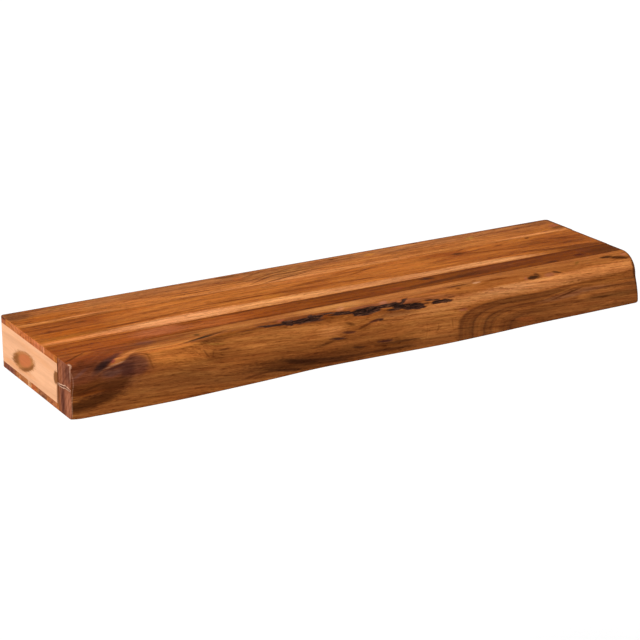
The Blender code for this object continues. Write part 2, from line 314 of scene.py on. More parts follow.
def wander_group() -> bpy.types.NodeTree:
    """Make the group that bends straight grain a little, so that figure laid on it looks grown.

    Returns:
        A group with the swayed Along and Across, and Grit, a fine noise from -1 to 1.
    """
    slow_along, slow_across = 0.5, 1.6
    shift_along, shift_across = 6.0, 2.0
    grit_along, grit_across, grit_seed = 0.11, 0.42, 7.0
    graph = GroupGraph("wandering_grain",
                       {"Along": 0, "Across": 0, "Depth": 0, "Reach": 60, "Sway": 2, "Seed": 0},
                       {"Along": "Float", "Across": "Float", "Grit": "Float"})
    given = graph.given
    along, across, depth = (graph.math("DIVIDE", given[name], given["Reach"])
                            for name in ("Along", "Across", "Depth"))
    slow = graph.noise(graph.vector(graph.math("MULTIPLY", along, slow_along),
                                    graph.math("MULTIPLY", across, slow_across),
                                    graph.math("ADD", depth, given["Seed"])))
    parts = graph.put("SeparateColor", {0: slow.outputs["Color"]})
    for name, part, gain in (("Along", 0, shift_along), ("Across", 1, shift_across)):
        shift = graph.math("MULTIPLY", graph.math("SUBTRACT", parts.outputs[part], 0.5), gain)
        graph.give(name, graph.math("MULTIPLY_ADD", shift, given["Sway"], given[name]))
    quick = graph.noise(graph.vector(graph.math("MULTIPLY", given["Along"], grit_along),
                                     graph.math("MULTIPLY", given["Across"], grit_across),
                                     graph.math("ADD", given["Seed"], grit_seed)), 3.0, 0.6)
    graph.give("Grit", graph.remap(quick.outputs["Fac"], 0.25, 0.75, -1.0, 1.0))
    return graph.tree


def mark_group() -> bpy.types.NodeTree:
    """Make the group that lays one mark of the figure: an oval, turned, bowed and frayed.

    Returns:
        A group that takes the Tone of the wood and gives it with the mark's Ink over it.
    """
    graph = GroupGraph("figure_mark",
                       {"Along": 0, "Across": 0, "Grit": 0, "MiddleAlong": 0, "MiddleAcross": 0,
                        "HalfLength": 10, "HalfWidth": 5, "Turn": 0, "Bow": 0, "Soft": 0.5, "Fray": 0.2,
                        "Strength": 1, "Tone": (0, 0, 0), "Ink": (0, 0, 0)},
                       {"Tone": "Color"})
    given = graph.given
    along = graph.math("SUBTRACT", given["Along"], given["MiddleAlong"])
    across = graph.math("SUBTRACT", given["Across"], given["MiddleAcross"])
    cosine = graph.math("COSINE", given["Turn"])
    sine = graph.math("SINE", given["Turn"])
    length = graph.math("MULTIPLY_ADD", along, cosine, graph.math("MULTIPLY", across, sine))
    width = graph.math("SUBTRACT", graph.math("MULTIPLY", across, cosine),
                       graph.math("MULTIPLY", along, sine))
    length = graph.math("DIVIDE", length, given["HalfLength"])
    square = graph.math("MULTIPLY", length, length)
    width = graph.math("SUBTRACT", width, graph.math("MULTIPLY", square, given["Bow"]))
    width = graph.math("DIVIDE", width, given["HalfWidth"])
    far = graph.math("SQRT", graph.math("MULTIPLY_ADD", width, width, square))
    far = graph.math("MULTIPLY_ADD", given["Grit"], given["Fray"], far)
    mask = graph.remap(far, graph.math("SUBTRACT", 1.0, given["Soft"]),
                       graph.math("ADD", 1.0, given["Soft"]), 1.0, 0.0, "SMOOTHSTEP")
    share = graph.math("MULTIPLY", mask, given["Strength"])
    graph.give("Tone", graph.blend(share, given["Tone"], given["Ink"]))
    return graph.tree


def drawn_out(graph: GroupGraph) -> Socket:
    """Draw a group's place out with the grain, by its Length and Width inputs.

    Args:
        graph: The group's graph, with inputs Along, Across, Depth, Length, Width and Seed.

    Returns:
        The place as a vector for a noise node.
    """
    given = graph.given
    depth = graph.math("DIVIDE", given["Depth"], given["Width"])
    return graph.vector(graph.math("DIVIDE", given["Along"], given["Length"]),
                        graph.math("DIVIDE", given["Across"], given["Width"]),
                        graph.math("ADD", depth, given["Seed"]))


def streak_group() -> bpy.types.NodeTree:
    """Make the group of streaks that run with the grain.

    Returns:
        A group whose Streak goes from 0 to 1.
    """
    graph = GroupGraph("grain_streaks",
                       {"Along": 0, "Across": 0, "Depth": 0, "Length": 100, "Width": 4, "Seed": 0},
                       {"Streak": "Float"})
    level = graph.noise(drawn_out(graph), detail=3.0, roughness=0.55).outputs["Fac"]
    graph.give("Streak", graph.remap(level, low=0.27, high=0.73))
    return graph.tree


def pore_group() -> bpy.types.NodeTree:
    """Make the group of pores: short dark dashes with the grain.

    Returns:
        A group whose Pore is 1 inside a pore.
    """
    rim = 0.09
    graph = GroupGraph("wood_pores",
                       {"Along": 0, "Across": 0, "Depth": 0, "Length": 6, "Width": 0.5, "Share": 0.5,
                        "Seed": 0}, {"Pore": "Float"})
    place = drawn_out(graph)
    level = graph.math("SUBTRACT", 1.0, graph.given["Share"])
    graph.give("Pore", graph.remap(graph.noise(place, detail=1.0).outputs["Fac"], level,
                                   graph.math("ADD", level, rim), kind="SMOOTHSTEP"))
    return graph.tree


def ring_group() -> bpy.types.NodeTree:
    """Make the group of growth rings, which read how far a point is from the heart of the tree.

    Returns:
        A group with Line, 1 in the dark late wood of a ring, and Tint, one chance number per ring.
    """
    drift_rate = 0.6
    late_start, late_full, late_end = 0.35, 0.88, 0.90
    graph = GroupGraph("growth_rings", {"Field": 0, "Spacing": 6, "Seed": 0, "Uneven": 0.8},
                       {"Line": "Float", "Tint": "Float"})
    given = graph.given
    turns = graph.math("DIVIDE", given["Field"], given["Spacing"])
    drift = graph.noise(graph.vector(graph.math("MULTIPLY", turns, drift_rate), given["Seed"], 0.0), 1.0)
    turns = graph.math("MULTIPLY_ADD", drift.outputs["Fac"], given["Uneven"], turns)
    part = graph.math("FRACT", turns)
    late = graph.remap(part, late_start, late_full, kind="SMOOTHSTEP")
    late = graph.math("MULTIPLY", late, graph.remap(part, late_end, 1.0, 1.0, 0.0, "SMOOTHSTEP"))
    graph.give("Line", late)
    number = graph.math("ADD", graph.math("FLOOR", turns), given["Seed"])
    graph.give("Tint", graph.put("TexWhiteNoise", {"W": number}, noise_dimensions="1D").outputs["Value"])
    return graph.tree


def heart_group() -> bpy.types.NodeTree:
    """Make the group that measures how far a point is from a leaning heart line of the tree.

    Returns:
        A group whose Field is that distance in millimetres.
    """
    graph = GroupGraph("heart_distance",
                       {"Along": 0, "Across": 0, "Up": 0, "HeartAcross": 0, "HeartUp": 0,
                        "LeanAcross": 0, "LeanUp": 0}, {"Field": "Float"})
    given = graph.given
    across = graph.math("SUBTRACT", given["Across"],
                        graph.math("MULTIPLY_ADD", given["Along"], given["LeanAcross"], given["HeartAcross"]))
    up = graph.math("SUBTRACT", given["Up"],
                    graph.math("MULTIPLY_ADD", given["Along"], given["LeanUp"], given["HeartUp"]))
    graph.give("Field", graph.math("SQRT", graph.math("MULTIPLY_ADD", across, across,
                                                      graph.math("MULTIPLY", up, up))))
    return graph.tree


def texture_group(streak: bpy.types.NodeTree, pore: bpy.types.NodeTree) -> bpy.types.NodeTree:
    """Make the group of the fine figure that wood has everywhere: streaks, flecks and pores.

    Args:
        streak: The group of streaks.
        pore: The group of pores.

    Returns:
        A group with Factor, about 1, for the wood's shade; Height for its relief; and Drift, a
        slow change from -1 to 1.
    """
    # Streaks: length, width, share of the shade and share of the relief
    streaks = ((260.0, 7.0, 0.34, 0.0), (85.0, 2.8, 0.42, 0.7), (26.0, 1.3, 0.30, 0.5))
    # Dark flecks, light flecks and pores: length, width, how common, and the same two shares
    dashes = ((13.0, 1.7, 0.42, -0.24, -0.4), (11.0, 1.5, 0.38, 0.16, 0.0), (6.0, 0.5, 0.42, -0.16, -0.8))
    level, drift_length, drift_width, drift_seed = 1.03, 70.0, 9.0, 5.0
    graph = GroupGraph("wood_texture",
                       {"Along": 0, "Across": 0, "Depth": 0, "Slope": 0, "Seed": 0, "Contrast": 1},
                       {"Factor": "Float", "Height": "Float", "Drift": "Float"})
    given = graph.given
    across = graph.math("MULTIPLY_ADD", given["Along"], given["Slope"], given["Across"])
    place = {"Along": given["Along"], "Across": across, "Depth": given["Depth"]}
    total: Value = 0.0
    height: Value = 0.0
    for length, width, gain, relief in streaks:
        strip = graph.use(streak, **place, Length=length, Width=width,
                          Seed=graph.math("ADD", given["Seed"], width))["Streak"]
        total = graph.math("MULTIPLY_ADD", graph.math("SUBTRACT", strip, 0.5), gain, total)
        height = graph.math("MULTIPLY_ADD", strip, relief, height)
    for length, width, share, gain, relief in dashes:
        dash = graph.use(pore, **place, Length=length, Width=width, Share=share,
                         Seed=graph.math("ADD", given["Seed"], 3.0 * width))["Pore"]
        total = graph.math("MULTIPLY_ADD", dash, gain, total)
        height = graph.math("MULTIPLY_ADD", dash, relief, height)
    graph.give("Factor", graph.math("MULTIPLY_ADD", total, given["Contrast"], level))
    graph.give("Height", height)
    slow = graph.noise(graph.vector(graph.math("DIVIDE", given["Along"], drift_length),
                                    graph.math("DIVIDE", across, drift_width),
                                    graph.math("ADD", given["Seed"], drift_seed)), 3.0, 0.6)
    graph.give("Drift", graph.remap(slow.outputs["Fac"], 0.28, 0.72, -1.0, 1.0))
    return graph.tree


RED_STOPS = (
    (0.00, (0.010, 0.004, 0.003)),
    (0.10, (0.100, 0.023, 0.003)),
    (0.20, (0.200, 0.046, 0.004)),
    (0.30, (0.300, 0.069, 0.007)),
    (0.40, (0.400, 0.102, 0.013)),
    (0.50, (0.500, 0.147, 0.024)),
    (0.62, (0.620, 0.200, 0.050)),
    (0.75, (0.750, 0.290, 0.090)),
    (1.00, (0.950, 0.460, 0.210)),
)
GOLD_STOPS = (
    (0.00, (0.010, 0.006, 0.004)),
    (0.10, (0.100, 0.031, 0.012)),
    (0.20, (0.200, 0.063, 0.018)),
    (0.30, (0.300, 0.097, 0.025)),
    (0.40, (0.400, 0.134, 0.032)),
    (0.50, (0.500, 0.171, 0.041)),
    (0.62, (0.620, 0.215, 0.055)),
    (0.75, (0.750, 0.270, 0.080)),
    (1.00, (0.950, 0.450, 0.200)),
)


def colour_at(shade: float, stops: Sequence[tuple[float, Colour]]) -> Colour:
    """Read a colour between two of a wood's colour stops.

    Args:
        shade: The place along the stops, from 0 to 1.
        stops: The stops, from the darkest to the lightest.

    Returns:
        The colour.
    """
    for (low, dark), (high, light) in zip(stops, stops[1:]):
        if shade <= high:
            share = (shade - low) / (high - low)
            return tuple(first + (second - first) * share for first, second in zip(dark, light))
    return stops[-1][1]


def hardwood_colour(shade: float, gold: float) -> Colour:
    """Return the hardwood's colour at a shade, between its red and its golden leaning."""
    red, golden = colour_at(shade, RED_STOPS), colour_at(shade, GOLD_STOPS)
    return tuple(first + (second - first) * gold for first, second in zip(red, golden))


def grain_group() -> bpy.types.NodeTree:
    """Make the group that lays fine grain over a colour, deeper in hue where it is darker.

    Returns:
        A group that takes Tone, Factor (about 1) and Drift (from -1, redder, to 1, more golden)
        and gives the grained Tone.
    """
    least, green_power, blue_power = 0.05, 1.25, 1.4
    green_lean, blue_lean = 0.09, 0.10
    graph = GroupGraph("grained_tone", {"Tone": (0, 0, 0), "Factor": 1, "Drift": 0}, {"Tone": "Color"})
    given = graph.given
    factor = graph.math("MAXIMUM", given["Factor"], least)
    grain = graph.vector(factor, graph.math("POWER", factor, green_power),
                         graph.math("POWER", factor, blue_power))
    tone = graph.blend(1.0, given["Tone"], grain, "MULTIPLY")
    lean = graph.vector(1.0, graph.math("MULTIPLY_ADD", given["Drift"], green_lean, 1.0),
                        graph.math("MULTIPLY_ADD", given["Drift"], blue_lean, 1.0))
    graph.give("Tone", graph.blend(1.0, tone, lean, "MULTIPLY"))
    return graph.tree


class Effects:
    """The node groups that the finishes share, each made once."""

    def __init__(self, half_height: float, depth: float) -> None:
        """Make every group.

        Args:
            half_height: Half the shelf's height in metres.
            depth: The shelf's depth in metres.
        """
        self.place = place_group(half_height, depth)
        self.wander = wander_group()
        self.mark = mark_group()
        self.streak = streak_group()
        self.pore = pore_group()
        self.ring = ring_group()
        self.heart = heart_group()
        self.texture = texture_group(self.streak, self.pore)
        self.grain = grain_group()


@dataclass(frozen=True)
class Oval:
    """A soft-edged oval on a board's face, in millimetres: turned, bowed, frayed and perhaps sunk."""

    along: float
    across: float
    half_length: float
    half_width: float
    _: KW_ONLY
    turn: float = 0.0
    bow: float = 0.0
    soft: float = 0.5
    fray: float = 0.25
    pit: float = 0.0

    def depth_at(self, along: float, across: float, grit: float) -> float:
        """Work out how deep the oval's pit is at a point of the face.

        Args:
            along: The point's place along the grain, in millimetres.
            across: Its place across the grain.
            grit: A noise from -1 to 1 that frays the rim.

        Returns:
            The depth in millimetres.
        """
        angle = math.radians(self.turn)
        cosine, sine = math.cos(angle), math.sin(angle)
        length = ((along - self.along) * cosine + (across - self.across) * sine) / self.half_length
        if abs(length) > 2:
            return 0.0
        width = (across - self.across) * cosine - (along - self.along) * sine
        width = (width - self.bow * length ** 2) / self.half_width
        far = math.hypot(length, width) + grit * self.fray
        inside = min(max((1 + self.soft - far) / (2 * self.soft), 0.0), 1.0)
        return self.pit * inside * inside * (3 - 2 * inside)


@dataclass(frozen=True)
class Mark(Oval):
    """One streak, patch or line of a board's figure, or a painted shade or highlight."""

    shade: float | Stain | Colour
    strength: float = 0.8
    _: KW_ONLY
    gold: float = 0.5

    def lay(self, graph: Graph, effects: Effects, sway: Sockets, tone: Value) -> Socket:
        """Lay the mark over the wood's colour.

        Args:
            graph: The material's graph.
            effects: The shared node groups.
            sway: The outputs of the wandering grain.
            tone: The wood's colour without it.

        Returns:
            The colour with it.
        """
        ink = self.shade.value if isinstance(self.shade, Stain) else self.shade
        if isinstance(ink, float):
            ink = hardwood_colour(ink, self.gold)
        return graph.use(effects.mark, Along=sway["Along"], Across=sway["Across"], Grit=sway["Grit"],
                         MiddleAlong=self.along, MiddleAcross=self.across, HalfLength=self.half_length,
                         HalfWidth=self.half_width, Turn=math.radians(self.turn), Bow=self.bow,
                         Soft=self.soft, Fray=self.fray, Strength=self.strength, Tone=tone, Ink=ink)["Tone"]


@dataclass(frozen=True)
class Rings:
    """Where the heart of the tree lies beside a board, and how close its rings are."""

    across: float
    up: float
    lean_across: float = 0.0
    lean_up: float = 0.0
    spacing: float = 7.0
    strength: float = 0.20


@dataclass(frozen=True)
class Swirl:
    """Rings that close in a round on one side and run on along the board on the other."""

    along: float
    stretch: float
    roundness: float
    reach: float
    rows: tuple[tuple[float, float], ...]
    step_start: float
    step_end: float
    step_height: float
    gold: float = 0.7
    fray: float = 0.7
    line_spacing: float = 2.6
    line_depth: float = 0.14
    rim: float = 1.2
    strength: float = 0.94

    def lay(self, graph: Graph, effects: Effects, sway: Sockets, tone: Value) -> Socket:
        """Lay the rings over the wood's colour.

        Args:
            graph: The material's graph.
            effects: The shared node groups.
            sway: The outputs of the wandering grain.
            tone: The wood's colour without them.

        Returns:
            The colour with them.
        """
        step = graph.remap(sway["Along"], self.step_start, self.step_end, 0.0, self.step_height, "SMOOTHSTEP")
        level = graph.math("MAXIMUM", graph.math("SUBTRACT", sway["Across"], step), 0.0)
        back = graph.math("DIVIDE", graph.math("SUBTRACT", self.along, sway["Along"]), self.stretch)
        back = graph.math("MAXIMUM", back, 0.0)
        far = graph.math("ADD", graph.math("POWER", level, self.roundness),
                         graph.math("POWER", back, self.roundness))
        far = graph.math("POWER", far, 1 / self.roundness)
        far = graph.math("MULTIPLY_ADD", sway["Grit"], self.fray, far)
        stops = [(distance / self.reach, hardwood_colour(shade, self.gold)) for distance, shade in self.rows]
        inner = graph.ramp(graph.math("DIVIDE", far, self.reach), stops)
        ring = graph.use(effects.ring, Field=far, Spacing=self.line_spacing, Seed=3.0, Uneven=1.5)
        line = graph.math("MULTIPLY_ADD", ring["Line"], -self.line_depth, 1.05)
        inner = graph.blend(1.0, inner, graph.vector(line, line, line), "MULTIPLY")
        inside = graph.remap(far, self.reach - self.rim, self.reach + self.rim, self.strength, 0.0,
                             "SMOOTHSTEP")
        return graph.blend(inside, tone, inner)


@dataclass(frozen=True)
class Finish:
    """What every finish has: a name, and the way its effects reach the shader."""

    name: str
    roughness: float
    relief: float
    specular: float

    def begin(self) -> tuple[bpy.types.Material, Graph]:
        """Start the material.

        Returns:
            An empty material and the graph that fills it.
        """
        material = bpy.data.materials.new(self.name)
        material.use_nodes = True
        return material, Graph(material.node_tree)

    def close(self, graph: Graph, tone: Value, roughness: Value, height: Value,
              metallic: float = 0.0) -> None:
        """Feed the effects to the shader.

        Args:
            graph: The material's graph.
            tone: The base colour.
            roughness: The roughness.
            height: The relief's height, about 0 to 1.
            metallic: 1 for metal.
        """
        bump_strength = 0.35
        bump = graph.put("Bump", {"Strength": bump_strength, "Distance": self.relief, "Height": height})
        shader = graph.put("BsdfPrincipled", {"Base Color": tone, "Roughness": roughness,
                                              "Metallic": metallic, "Specular IOR Level": self.specular,
                                              "Normal": bump.outputs[0]})
        graph.put("OutputMaterial", {"Surface": shader.outputs[0]})


@dataclass(frozen=True)
class HardwoodFinish(Finish):
    """Oiled hardwood with its own figure."""

    roughness: float = 0.55
    relief: float = 0.25 * MM
    specular: float = 0.012
    shade: float = 0.40
    gold: float = 0.3
    layout: Layout = Layout.OUT
    seed: float = 0.0
    rings: Rings = Rings(0.0, 0.0)
    figure: tuple[Mark | Swirl, ...] = ()
    end_figure: tuple[Mark, ...] = ()
    end_shade: float = 0.45
    end_gold: float = 0.3
    sway: float = 2.0
    slope: float = 0.0
    contrast: float = 1.0
    reach: float = 70.0
    ring_tint: float = 0.12
    rough_gain: float = 0.12
    reads_bark: bool = False

    def material(self, effects: Effects) -> bpy.types.Material:
        """Make the material.

        Args:
            effects: The shared node groups.

        Returns:
            The material.
        """
        material, graph = self.begin()
        place = graph.use(effects.place)
        across = place[self.layout.value]
        flat = self.layout is Layout.OUT
        depth = place["Up"] if flat else place["Out"]
        sway = graph.use(effects.wander, Along=place["Right"], Across=across, Depth=depth,
                         Reach=self.reach, Sway=self.sway, Seed=self.seed)
        field = graph.use(effects.heart, Along=sway["Along"], Across=sway["Across"] if flat else place["Out"],
                          Up=place["Up"], HeartAcross=self.rings.across, HeartUp=self.rings.up,
                          LeanAcross=self.rings.lean_across, LeanUp=self.rings.lean_up)["Field"]
        ring = graph.use(effects.ring, Field=field, Spacing=self.rings.spacing, Seed=self.seed)
        texture = graph.use(effects.texture, Along=sway["Along"], Across=sway["Across"], Depth=depth,
                            Slope=self.slope, Seed=self.seed, Contrast=self.contrast)
        detail = graph.math("MULTIPLY_ADD", ring["Line"], -self.rings.strength, texture["Factor"])
        detail = graph.math("MULTIPLY_ADD", graph.math("SUBTRACT", ring["Tint"], 0.5), self.ring_tint, detail)
        tone: Value = hardwood_colour(self.shade, self.gold)
        for feature in self.figure:
            tone = feature.lay(graph, effects, sway, tone)
        tone = graph.use(effects.grain, Tone=tone, Factor=detail, Drift=texture["Drift"])["Tone"]
        if self.reads_bark:
            tone = self.add_bark(graph, sway, tone)
        tone = graph.blend(place["EndFace"], tone, self.end_grain(graph, effects, place, ring))
        rough = graph.math("MULTIPLY_ADD", texture["Height"], self.rough_gain, self.roughness)
        self.close(graph, tone, rough, texture["Height"])
        return material

    def add_bark(self, graph: Graph, sway: Sockets, tone: Value) -> Socket:
        """Lay the dark bark over the pits that were carved into the mesh.

        Args:
            graph: The material's graph.
            sway: The outputs of the wandering grain.
            tone: The wood's colour without it.

        Returns:
            The colour with it.
        """
        margin_colour = (0.205, 0.056, 0.016)
        bark_stops = ((0.40, Stain.BARK.value), (0.54, (0.050, 0.020, 0.014)),
                      (0.64, (0.170, 0.068, 0.032)), (0.74, (0.330, 0.150, 0.070)))
        margin_share, core_share, fray = 0.80, 0.96, 0.06
        slit_along, slit_across = 0.045, 0.55
        carved = graph.add("Attribute", attribute_type="GEOMETRY", attribute_name="bark")
        edge = graph.math("MULTIPLY_ADD", sway["Grit"], fray, carved.outputs["Fac"])
        margin = graph.remap(edge, 0.04, 0.30, 0.0, 1.0, "SMOOTHSTEP")
        core = graph.remap(edge, 0.26, 0.62, 0.0, 1.0, "SMOOTHSTEP")
        slits = graph.noise(graph.vector(graph.math("MULTIPLY", sway["Along"], slit_along),
                                         graph.math("MULTIPLY", sway["Across"], slit_across), 0.0), 3.0, 0.6)
        tone = graph.blend(graph.math("MULTIPLY", margin, margin_share), tone, margin_colour)
        bark = graph.ramp(slits.outputs["Fac"], bark_stops)
        return graph.blend(graph.math("MULTIPLY", core, core_share), tone, bark)

    def end_grain(self, graph: Graph, effects: Effects, place: Sockets,
                  ring: Sockets) -> Socket:
        """Work out the colour of the sawn ends, which have their marks on the left one.

        Args:
            graph: The material's graph.
            effects: The shared node groups.
            place: Where the point lies on the shelf.
            ring: The growth rings' outputs.

        Returns:
            The colour.
        """
        # Long rays and short fibres: length, width, seed and share of the shade
        rows = ((60.0, 4.0, 9, 0.6), (5.0, 1.0, 11, 0.5))
        ring_depth = 0.2
        ends = graph.use(effects.wander, Along=place["Up"], Across=place["Out"], Depth=0.0, Reach=30.0,
                         Sway=1.0, Seed=self.seed + 5)
        factor: Value = 1.0
        for length, width, seed, gain in rows:
            strip = graph.use(effects.streak, Along=ends["Along"], Across=ends["Across"], Depth=0.0,
                              Length=length, Width=width, Seed=self.seed + seed)["Streak"]
            factor = graph.math("MULTIPLY_ADD", graph.math("SUBTRACT", strip, 0.5), gain, factor)
        factor = graph.math("MULTIPLY_ADD", ring["Line"], -ring_depth, factor)
        plain: Value = hardwood_colour(self.end_shade, self.end_gold)
        tone = plain
        for mark in self.end_figure:
            tone = mark.lay(graph, effects, ends, tone)
        on_right = graph.remap(place["Right"], -1.0, 1.0)
        tone = graph.blend(on_right, tone, plain)
        return graph.use(effects.grain, Tone=tone, Factor=factor, Drift=0.0)["Tone"]


@dataclass(frozen=True)
class PineFinish(Finish):
    """Planed pale pine with faint growth lines and, where it has one, a knot."""

    roughness: float = 0.60
    relief: float = 0.2 * MM
    specular: float = 0.10
    seed: float = 0.0
    colour: Colour = (0.900, 0.460, 0.245)
    figure: tuple[Mark, ...] = ()

    def material(self, effects: Effects) -> bpy.types.Material:
        """Make the material.

        Args:
            effects: The shared node groups.

        Returns:
            The material.
        """
        material, graph = self.begin()
        # Broad streaks and fine fibres: length, width, seed and share of the shade
        rows = ((90.0, 5.0, 0, 0.14), (14.0, 1.1, 4, 0.10))
        ring_depth, fibre_gain = 0.07, 0.12
        place = graph.use(effects.place)
        sway = graph.use(effects.wander, Along=place["Out"], Across=place["Up"], Depth=place["Right"],
                         Reach=60.0, Sway=0.8, Seed=self.seed)
        field = graph.use(effects.heart, Along=sway["Along"], Across=sway["Across"], Up=place["Right"],
                          HeartAcross=-60.0, HeartUp=30.0, LeanAcross=0.05, LeanUp=0.0)["Field"]
        ring = graph.use(effects.ring, Field=field, Spacing=5.5, Seed=self.seed)
        factor: Value = 1.02
        for length, width, seed, gain in rows:
            fibre = graph.use(effects.streak, Along=sway["Along"], Across=sway["Across"],
                              Depth=place["Right"], Length=length, Width=width,
                              Seed=self.seed + seed)["Streak"]
            factor = graph.math("MULTIPLY_ADD", graph.math("SUBTRACT", fibre, 0.5), gain, factor)
        factor = graph.math("MULTIPLY_ADD", ring["Line"], -ring_depth, factor)
        tone: Value = self.colour
        for mark in self.figure:
            tone = mark.lay(graph, effects, sway, tone)
        tone = graph.use(effects.grain, Tone=tone, Factor=factor, Drift=0.0)["Tone"]
        rough = graph.math("MULTIPLY_ADD", fibre, fibre_gain, self.roughness - fibre_gain / 2)
        self.close(graph, tone, rough, graph.math("ADD", fibre, ring["Line"]))
        return material


@dataclass(frozen=True)
class SteelFinish(Finish):
    """Zinc-plated steel with a fine grain and, on the rods, heat colours by the weld."""

    roughness: float = 0.34
    relief: float = 0.1 * MM
    specular: float = 0.5
    colour: Colour = (0.56, 0.57, 0.59)
    shaded: float = 0.86
    heat_stops: tuple[tuple[float, Colour], ...] = ((0.0, (0.20, 0.19, 0.20)), (0.35, (0.10, 0.13, 0.26)),
                                                    (0.6, (0.34, 0.22, 0.10)), (1.0, (0.56, 0.50, 0.36)))
    heat_reach: float = 16.0
    burn_reach: float = 14.0
    heat_strength: float = 0.75
    grain_gain: float = 0.14
    cloud_gain: float = 0.12
    weld_start: float | None = None

    def material(self, effects: Effects) -> bpy.types.Material:
        """Make the material.

        Args:
            effects: The shared node groups.

        Returns:
            The material.
        """
        material, graph = self.begin()
        place = graph.use(effects.place)
        grain = graph.use(effects.streak, Along=place["Right"], Across=place["Up"], Depth=place["Out"],
                          Length=30.0, Width=0.6, Seed=2.0)["Streak"]
        cloud = graph.noise(graph.vector(graph.math("MULTIPLY", place["Right"], 0.05),
                                         graph.math("MULTIPLY", place["Up"], 0.08),
                                         graph.math("MULTIPLY", place["Out"], 0.05)), 3.0).outputs["Fac"]
        darker = tuple(self.shaded * part for part in self.colour)
        tone = graph.ramp(cloud, ((0.3, darker), (0.7, self.colour)))
        if self.weld_start is not None:
            start = self.weld_start
            heat = graph.remap(place["Out"], start, start + self.heat_reach, 1.0, 0.0, "SMOOTHSTEP")
            burnt = graph.ramp(graph.remap(place["Out"], start, start + self.burn_reach), self.heat_stops)
            tone = graph.blend(graph.math("MULTIPLY", heat, self.heat_strength), tone, burnt)
        rough = graph.math("MULTIPLY_ADD", cloud, self.cloud_gain, self.roughness - self.cloud_gain)
        rough = graph.math("MULTIPLY_ADD", grain, self.grain_gain, rough)
        self.close(graph, tone, rough, grain, metallic=1.0)
        return material
